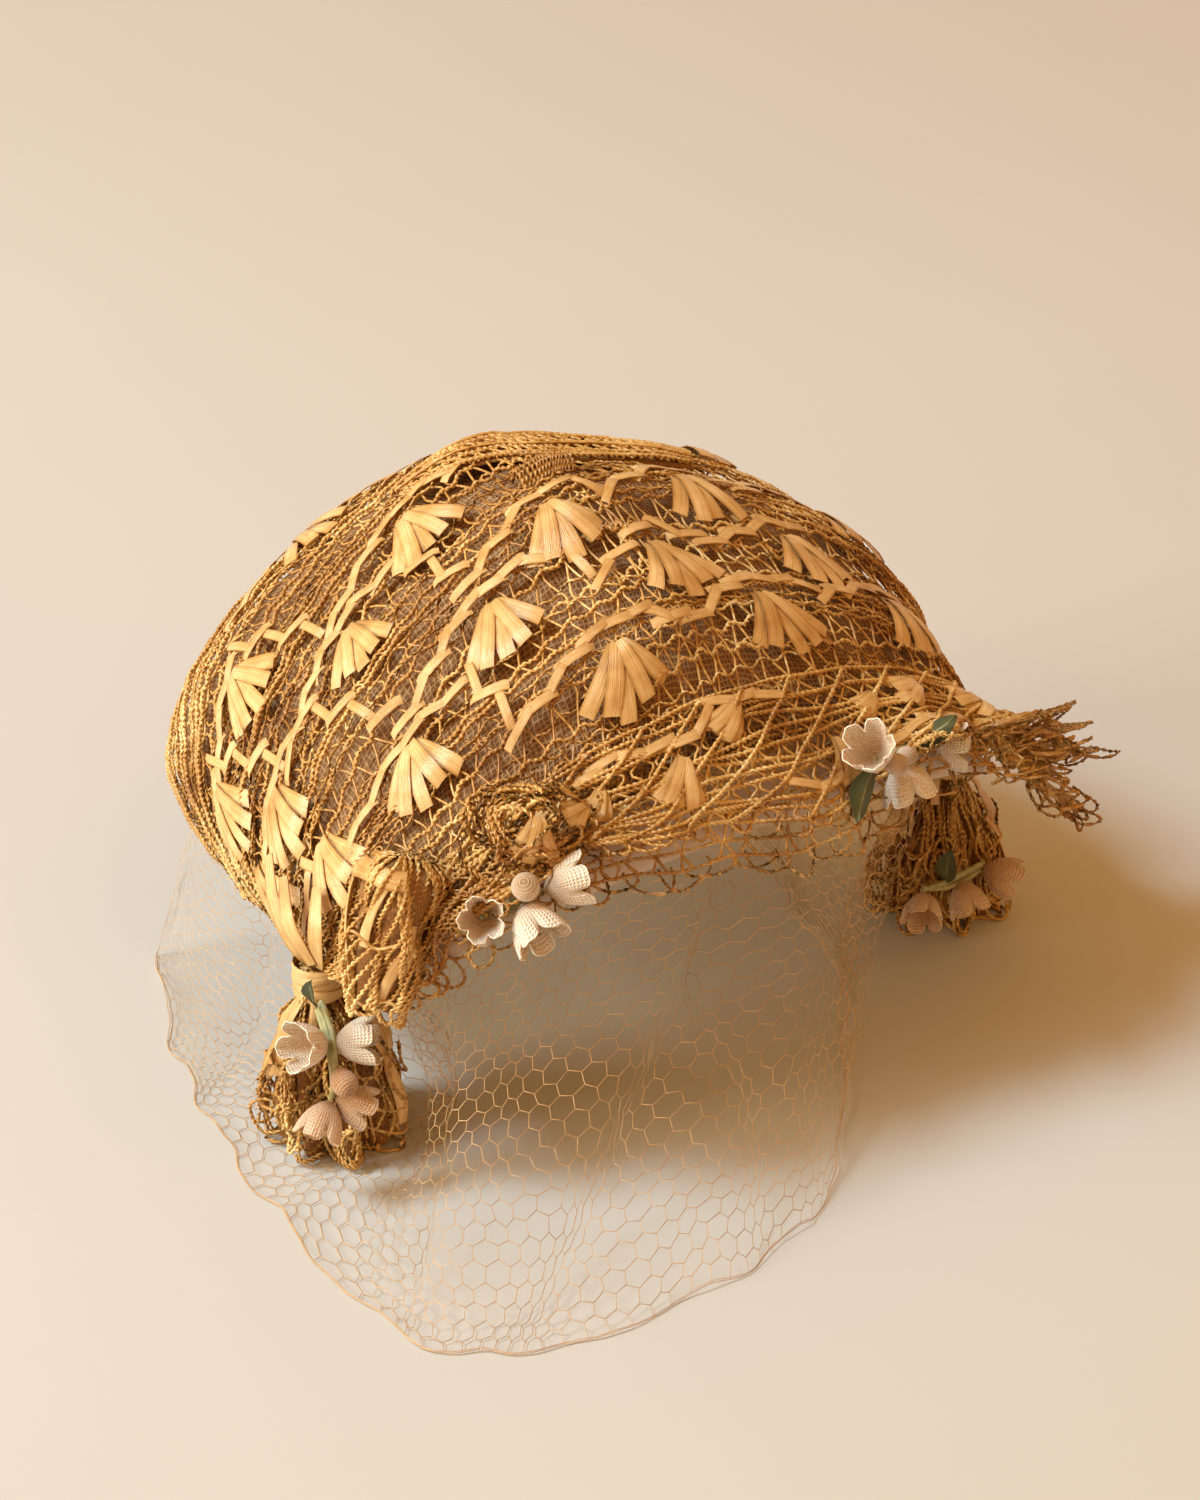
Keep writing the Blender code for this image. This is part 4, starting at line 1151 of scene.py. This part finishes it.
def petal_finish(name, throat, body, rim):
    """Woven cloth, painted darker and warmer at its throat as shade and paling to its rim."""
    finish, wire, plug = new_finish(
        name, 0.75, Sheen_Weight=0.25, Subsurface_Weight=0.15, Subsurface_Scale=0.002)
    # The colour runs from the throat by the calyx to the rim: a painted shade gradient, darkest in the bell's
    # hollow.
    rise = uv_part(wire, 1) + (grain(wire, 300.0, 2.0) - 0.5) * 0.3
    plug("Base Color", ramp(wire, rise, (0.0, throat), (0.45, body), (0.9, rim)))
    cloth = wire.maths("MAXIMUM", *(
        wire.maths("SINE", wire.node("ShaderNodeSeparateXYZ", {}, {0: on_uv(wire, (300.0, 90.0, 1.0))}, axis))
        for axis in (0, 1)))
    plug("Normal", bump(wire, cloth * 0.5 + grain(wire, 1500.0, 2.0), 0.8, 0.0006))
    return finish


# The first colour of each cloth is its throat, darkened as painted shade, and the last is its rim.
white_petal = petal_finish("white_cloth_petal", (0.66, 0.46, 0.26), (0.88, 0.70, 0.54), (0.95, 0.84, 0.71))
peach_petal = petal_finish("peach_cloth_petal", (0.56, 0.34, 0.18), (0.74, 0.48, 0.30), (0.84, 0.62, 0.44))
dipped_leaf, wire, plug = new_finish("dipped_green_leaf", 0.45)
rib = wire.maths("ABSOLUTE", uv_part(wire) - 0.5)
plug("Base Color", ramp(wire, rib + (grain(wire, 200.0) - 0.5) * 0.08, (0.0, (0.300, 0.300, 0.140)),
                        (0.05, (0.080, 0.090, 0.032)), (0.5, (0.045, 0.060, 0.022))))
plug("Normal", bump(wire, grain(wire, 600.0), 0.4, 0.0003))
green_stem, wire, plug = new_finish("green_paper_stem", 0.7)
plug("Base Color", ramp(wire, grain(wire, 500.0), (0.3, (0.280, 0.290, 0.130)), (0.7, (0.480, 0.470, 0.260))))

KINDS = {
    # the kind's solid, piece, shape and slot
    "bell": ("flower_bell", "bell", bell_shape, "fabric_petal"),
    "bud": ("flower_bud", "bud", bud_shape, "fabric_petal"),
    "leaf": ("leaf", "dipped_leaf", leaf_shape, "fabric_leaf"),
}
counts = dict.fromkeys(KINDS, 0)
for spray, (stem, flowers) in SPRAYS.items():
    start, middle, end = (Vector(point) + MIDDLE for point in stem)
    for kind, station, toward, size in flowers:
        toward = Vector(toward).normalized()
        foot = start.lerp(middle, 2 * station) if station < 0.5 else middle.lerp(end, 2 * station - 1)
        foot += toward * (STEM_RADIUS + FLOWER_GAP)
        node, label, make, slot = KINDS[kind]
        counts[kind] += 1
        shape = make()
        turn = Vector((0, 0, -1)).rotation_difference(toward).to_matrix().to_4x4()
        placed = Matrix.Translation(foot) @ turn @ Matrix.Scale(size, 4)
        bmesh.ops.transform(shape, verts=shape.verts, matrix=placed)
        faded = "tuft" in spray and not (spray == "left_tuft" and station < 0.6)
        finish = dipped_leaf if kind == "leaf" else peach_petal if faded else white_petal
        name = f"{label}_{counts[kind]:02d}"
        show(name, mesh_of(shape, name, 60), finish, slot, f"{node}_{counts[kind]:02d}")
for spray, (stem, flowers) in SPRAYS.items():
    start, middle, end = (Vector(point) + MIDDLE for point in stem)
    bow = middle * 2 - (start + end) / 2
    strands = [[bend(start + aside, bow + aside * 2.2, end - aside * 0.4, share) for share in steps(0, 1, 24)]
               for aside in STEM_STRANDS]
    stems = cord_mesh(f"stem_{spray}", strands, STEM_RADIUS, 0.0, 2)
    show(f"stem_{spray}", stems, green_stem, "fabric_leaf", f"flower_stem_{spray}")


# The veil is one width of hexagonal veiling, hung inside the front edge. It falls to the table, bends
# there and spreads to its cut hem. It is all thread, so it is made as a net of fine wires.
VEIL_CELLS, VEIL_ROWS = 88, 26
VEIL_DROP = 0.0046
VEIL_THREAD = 0.00023
VEIL_FLOOR = 0.0004
VEIL_FOLDS = (
    # along the veil at its top, at its hem, half width, height
    (0.62, 0.40, 0.040, 0.0085), (0.72, 0.76, 0.026, 0.0060), (0.10, 0.14, 0.022, 0.0040),
    (0.205, 0.235, 0.034, 0.0075), (0.36, 0.33, 0.018, 0.0035), (0.50, 0.56, 0.018, 0.0040),
    (0.83, 0.86, 0.022, 0.0045), (0.94, 0.93, 0.020, 0.0035),
)
VEIL_DRAW = 0.80
VEIL_EVENING = 0.8
VEIL_SECTIONS = (
    # across, along, knee x, knee y, knee z, hem x, hem y
    (-0.72, 0.970, -0.086, 0.096, 0.026, -0.093, 0.094),
    (-0.90, 0.960, -0.094, 0.066, 0.024, -0.107, 0.062),
    (-0.97, 0.800, -0.088, 0.040, 0.014, -0.113, 0.040),
    (-0.92, 0.450, -0.063, 0.012, 0.0006, -0.118, 0.012),
    (-0.90, 0.100, -0.063, -0.016, 0.0006, -0.121, -0.024),
    (-0.85, 0.030, -0.082, -0.030, 0.022, -0.121, -0.066),
    (-0.60, 0.030, -0.072, -0.036, 0.034, -0.112, -0.090),
    (-0.35, 0.030, -0.050, -0.040, 0.042, -0.088, -0.101),
    (-0.10, 0.030, -0.020, -0.042, 0.046, -0.058, -0.101),
    (0.15, 0.030, 0.012, -0.040, 0.046, -0.030, -0.097),
    (0.40, 0.030, 0.038, -0.034, 0.042, -0.004, -0.084),
    (0.65, 0.030, 0.054, -0.026, 0.036, 0.018, -0.060),
    (0.88, 0.030, 0.060, -0.012, 0.026, 0.036, -0.038),
    (0.96, 0.300, 0.064, 0.006, 0.020, 0.052, -0.012),
    (0.96, 0.800, 0.076, 0.036, 0.020, 0.062, 0.022),
    (0.88, 0.960, 0.080, 0.066, 0.022, 0.074, 0.058),
    (0.72, 0.970, 0.082, 0.094, 0.026, 0.084, 0.090),
)


def drop_line(start, knee, end, share, rounding=0.2):
    """A straight fall from start to a rounded knee halfway, and a straight run on to end."""
    if share <= 0.5 - rounding:
        return start.lerp(knee, 2 * share)
    if share >= 0.5 + rounding:
        return knee.lerp(end, 2 * share - 1)
    before, after = start.lerp(knee, 1 - 2 * rounding), knee.lerp(end, 2 * rounding)
    return bend(before, knee, after, (share - 0.5 + rounding) / (2 * rounding))


def veil_place(u, v):
    """The veil without its folds: u goes along it, v down it."""
    across, along, knee_x, knee_y, knee_z, hem_x, hem_y = section_at(VEIL_SECTIONS, u)
    top = on_cap(across, along, -VEIL_DROP)
    knee = Vector((knee_x, knee_y, knee_z)) + MIDDLE
    hem = Vector((hem_x, hem_y, 0.0)) + MIDDLE
    return drop_line(top, knee, hem, v)


def veil(u, v):
    """The veil with its folds: along each the net is drawn together and stands up in a soft ridge."""
    ridge, drawn = 0.0, u
    for top, foot, width, height in VEIL_FOLDS:
        gap = u - mix(top, foot, v)
        near = math.exp(-(gap / width) ** 2) * math.sin(math.pi * mix(0.10, 0.86, v))
        drawn -= VEIL_DRAW * gap * near
        ridge += height * near
    drawn = min(max(drawn, 0.0), 1.0)
    point = veil_place(drawn, v)
    wide = veil_place(min(drawn + 0.004, 1.0), v) - veil_place(max(drawn - 0.004, 0.0), v)
    deep = veil_place(drawn, min(v + 0.004, 1.0)) - veil_place(drawn, max(v - 0.004, 0.0))
    swell = 0.0016 * math.sin(math.pi * v) * math.sin(60 * u + 3 * v)
    ripple = 0.0022 * noise.noise(Vector((u * 18, v * 4, 0.3))) * (0.3 + v)
    point = strayed(point + wide.cross(deep).normalized() * (ridge + swell + ripple), 0.0012, 110.0)
    hem_wave = 0.0014 * max(0.0, v - 0.8) * 5 * math.sin(95 * u)
    point += deep.normalized() * hem_wave
    point.z = max(point.z, VEIL_FLOOR + 0.0012 * abs(noise.noise(point * 60)))
    return point


veil_thread, wire, plug = new_finish("gold_veil_thread", 0.6)
plug("Base Color", ramp(wire, grain(wire, 70.0), (0.3, (0.460, 0.280, 0.120)), (0.7, (0.740, 0.520, 0.280))))

shape = bmesh.new()
columns = 2 * VEIL_CELLS
bmesh.ops.create_grid(shape, x_segments=columns, y_segments=VEIL_ROWS, size=0.5)
column = {vert: round((vert.co.x + 0.5) * columns) for vert in shape.verts}
row = {vert: round((vert.co.y + 0.5) * VEIL_ROWS) for vert in shape.verts}
spare = [
    edge for edge in shape.edges
    if column[edge.verts[0]] == column[edge.verts[1]]
    and 0 < column[edge.verts[0]] < columns
    and (column[edge.verts[0]] + min(row[v] for v in edge.verts)) % 2
]
for vert in shape.verts:
    if 0 < row[vert] < VEIL_ROWS:
        vert.co.y += (1 if (column[vert] + row[vert]) % 2 == 0 else -1) / (6 * VEIL_ROWS)
bmesh.ops.dissolve_edges(shape, edges=spare, use_verts=False)
for vert in shape.verts:
    vert.co = veil(vert.co.x + 0.5, (vert.co.y + 0.5) ** VEIL_EVENING)
bmesh.ops.wireframe(shape, faces=shape.faces, thickness=VEIL_THREAD, use_replace=True, use_boundary=True,
                    use_even_offset=False)
bmesh.ops.recalc_face_normals(shape, faces=shape.faces)
show("veil_net", mesh_of(shape, "veil_net", 80), veil_thread, "veil_net", "veil")
hem = [[veil(u, 0.998) + Vector((0, 0, 0.0002)) for u in steps(0.0, 1.0, 420)]]
show("veil_hem", cord_mesh("veil_hem", hem, VEIL_THREAD * 0.5), veil_thread, "veil_net")


# The floor is a sheet of cream paper that curves up behind. A high cool window at the left and a low warm one
# beside it light it, and a very weak fill and the warm colour of the room keep the shade brown and open.
PAPER_WIDTH = 12.0
PAPER_FRONT, PAPER_LENGTH = -6.0, 9.0
PAPER_RISE = 2.2
PAPER_FLAT, PAPER_LEAN = 0.9, 0.15
shape = bmesh.new()
bmesh.ops.create_grid(shape, x_segments=2, y_segments=108, size=0.5)
for vert in shape.verts:
    forward = (vert.co.y + 0.5) * PAPER_LENGTH + PAPER_FRONT
    curve = max(0.0, forward - PAPER_FLAT)
    rise = min(curve, PAPER_RISE) ** 2 / (2 * PAPER_RISE) + max(0.0, curve - PAPER_RISE)
    laid = Vector((vert.co.x * PAPER_WIDTH, forward - PAPER_LEAN * rise, rise))
    vert.co = Matrix.Rotation(AZIMUTH, 3, "Z") @ laid
paper = bpy.data.objects.new("paper_floor", mesh_of(shape, "paper_floor"))
bpy.context.scene.collection.objects.link(paper)
cream, wire, plug = new_finish("cream_paper", 0.9)
plug("Base Color", ramp(wire, grain(wire, 3.0), (0.3, (0.578, 0.614, 0.618)), (0.7, (0.598, 0.634, 0.640))))
paper.data.materials.append(cream)


LIT_PLACE = Vector((0, 0, 0.05))
ROOM_COLOUR = (1.0, 0.46, 0.12, 1)
ROOM_STRENGTH = 0.70


def add_light(name, place, size, power, colour):
    """A square lamp that shines on the hat."""
    light = bpy.data.lights.new(name, "AREA")
    light.size = size
    light.energy = power
    light.color = colour
    lamp = bpy.data.objects.new(name, light)
    lamp.location = place
    lamp.rotation_euler = (LIT_PLACE - Vector(place)).to_track_quat("-Z", "Y").to_euler()
    bpy.context.scene.collection.objects.link(lamp)


add_light("window", (-1.44, 0.55, 1.97), 0.65, 49, (0.77, 0.93, 1.0))
add_light("side_window", (-2.30, 0.60, 0.72), 0.9, 46, (1.0, 0.87, 0.66))
add_light("fill", (0.4, -1.6, 1.3), 1.6, 2, (1.0, 0.74, 0.50))
sky = bpy.data.worlds.new("room")
sky.use_nodes = True
sky.node_tree.nodes["Background"].inputs["Color"].default_value = ROOM_COLOUR
sky.node_tree.nodes["Background"].inputs["Strength"].default_value = ROOM_STRENGTH
bpy.context.scene.world = sky
bpy.context.scene.view_settings.view_transform = "Standard"
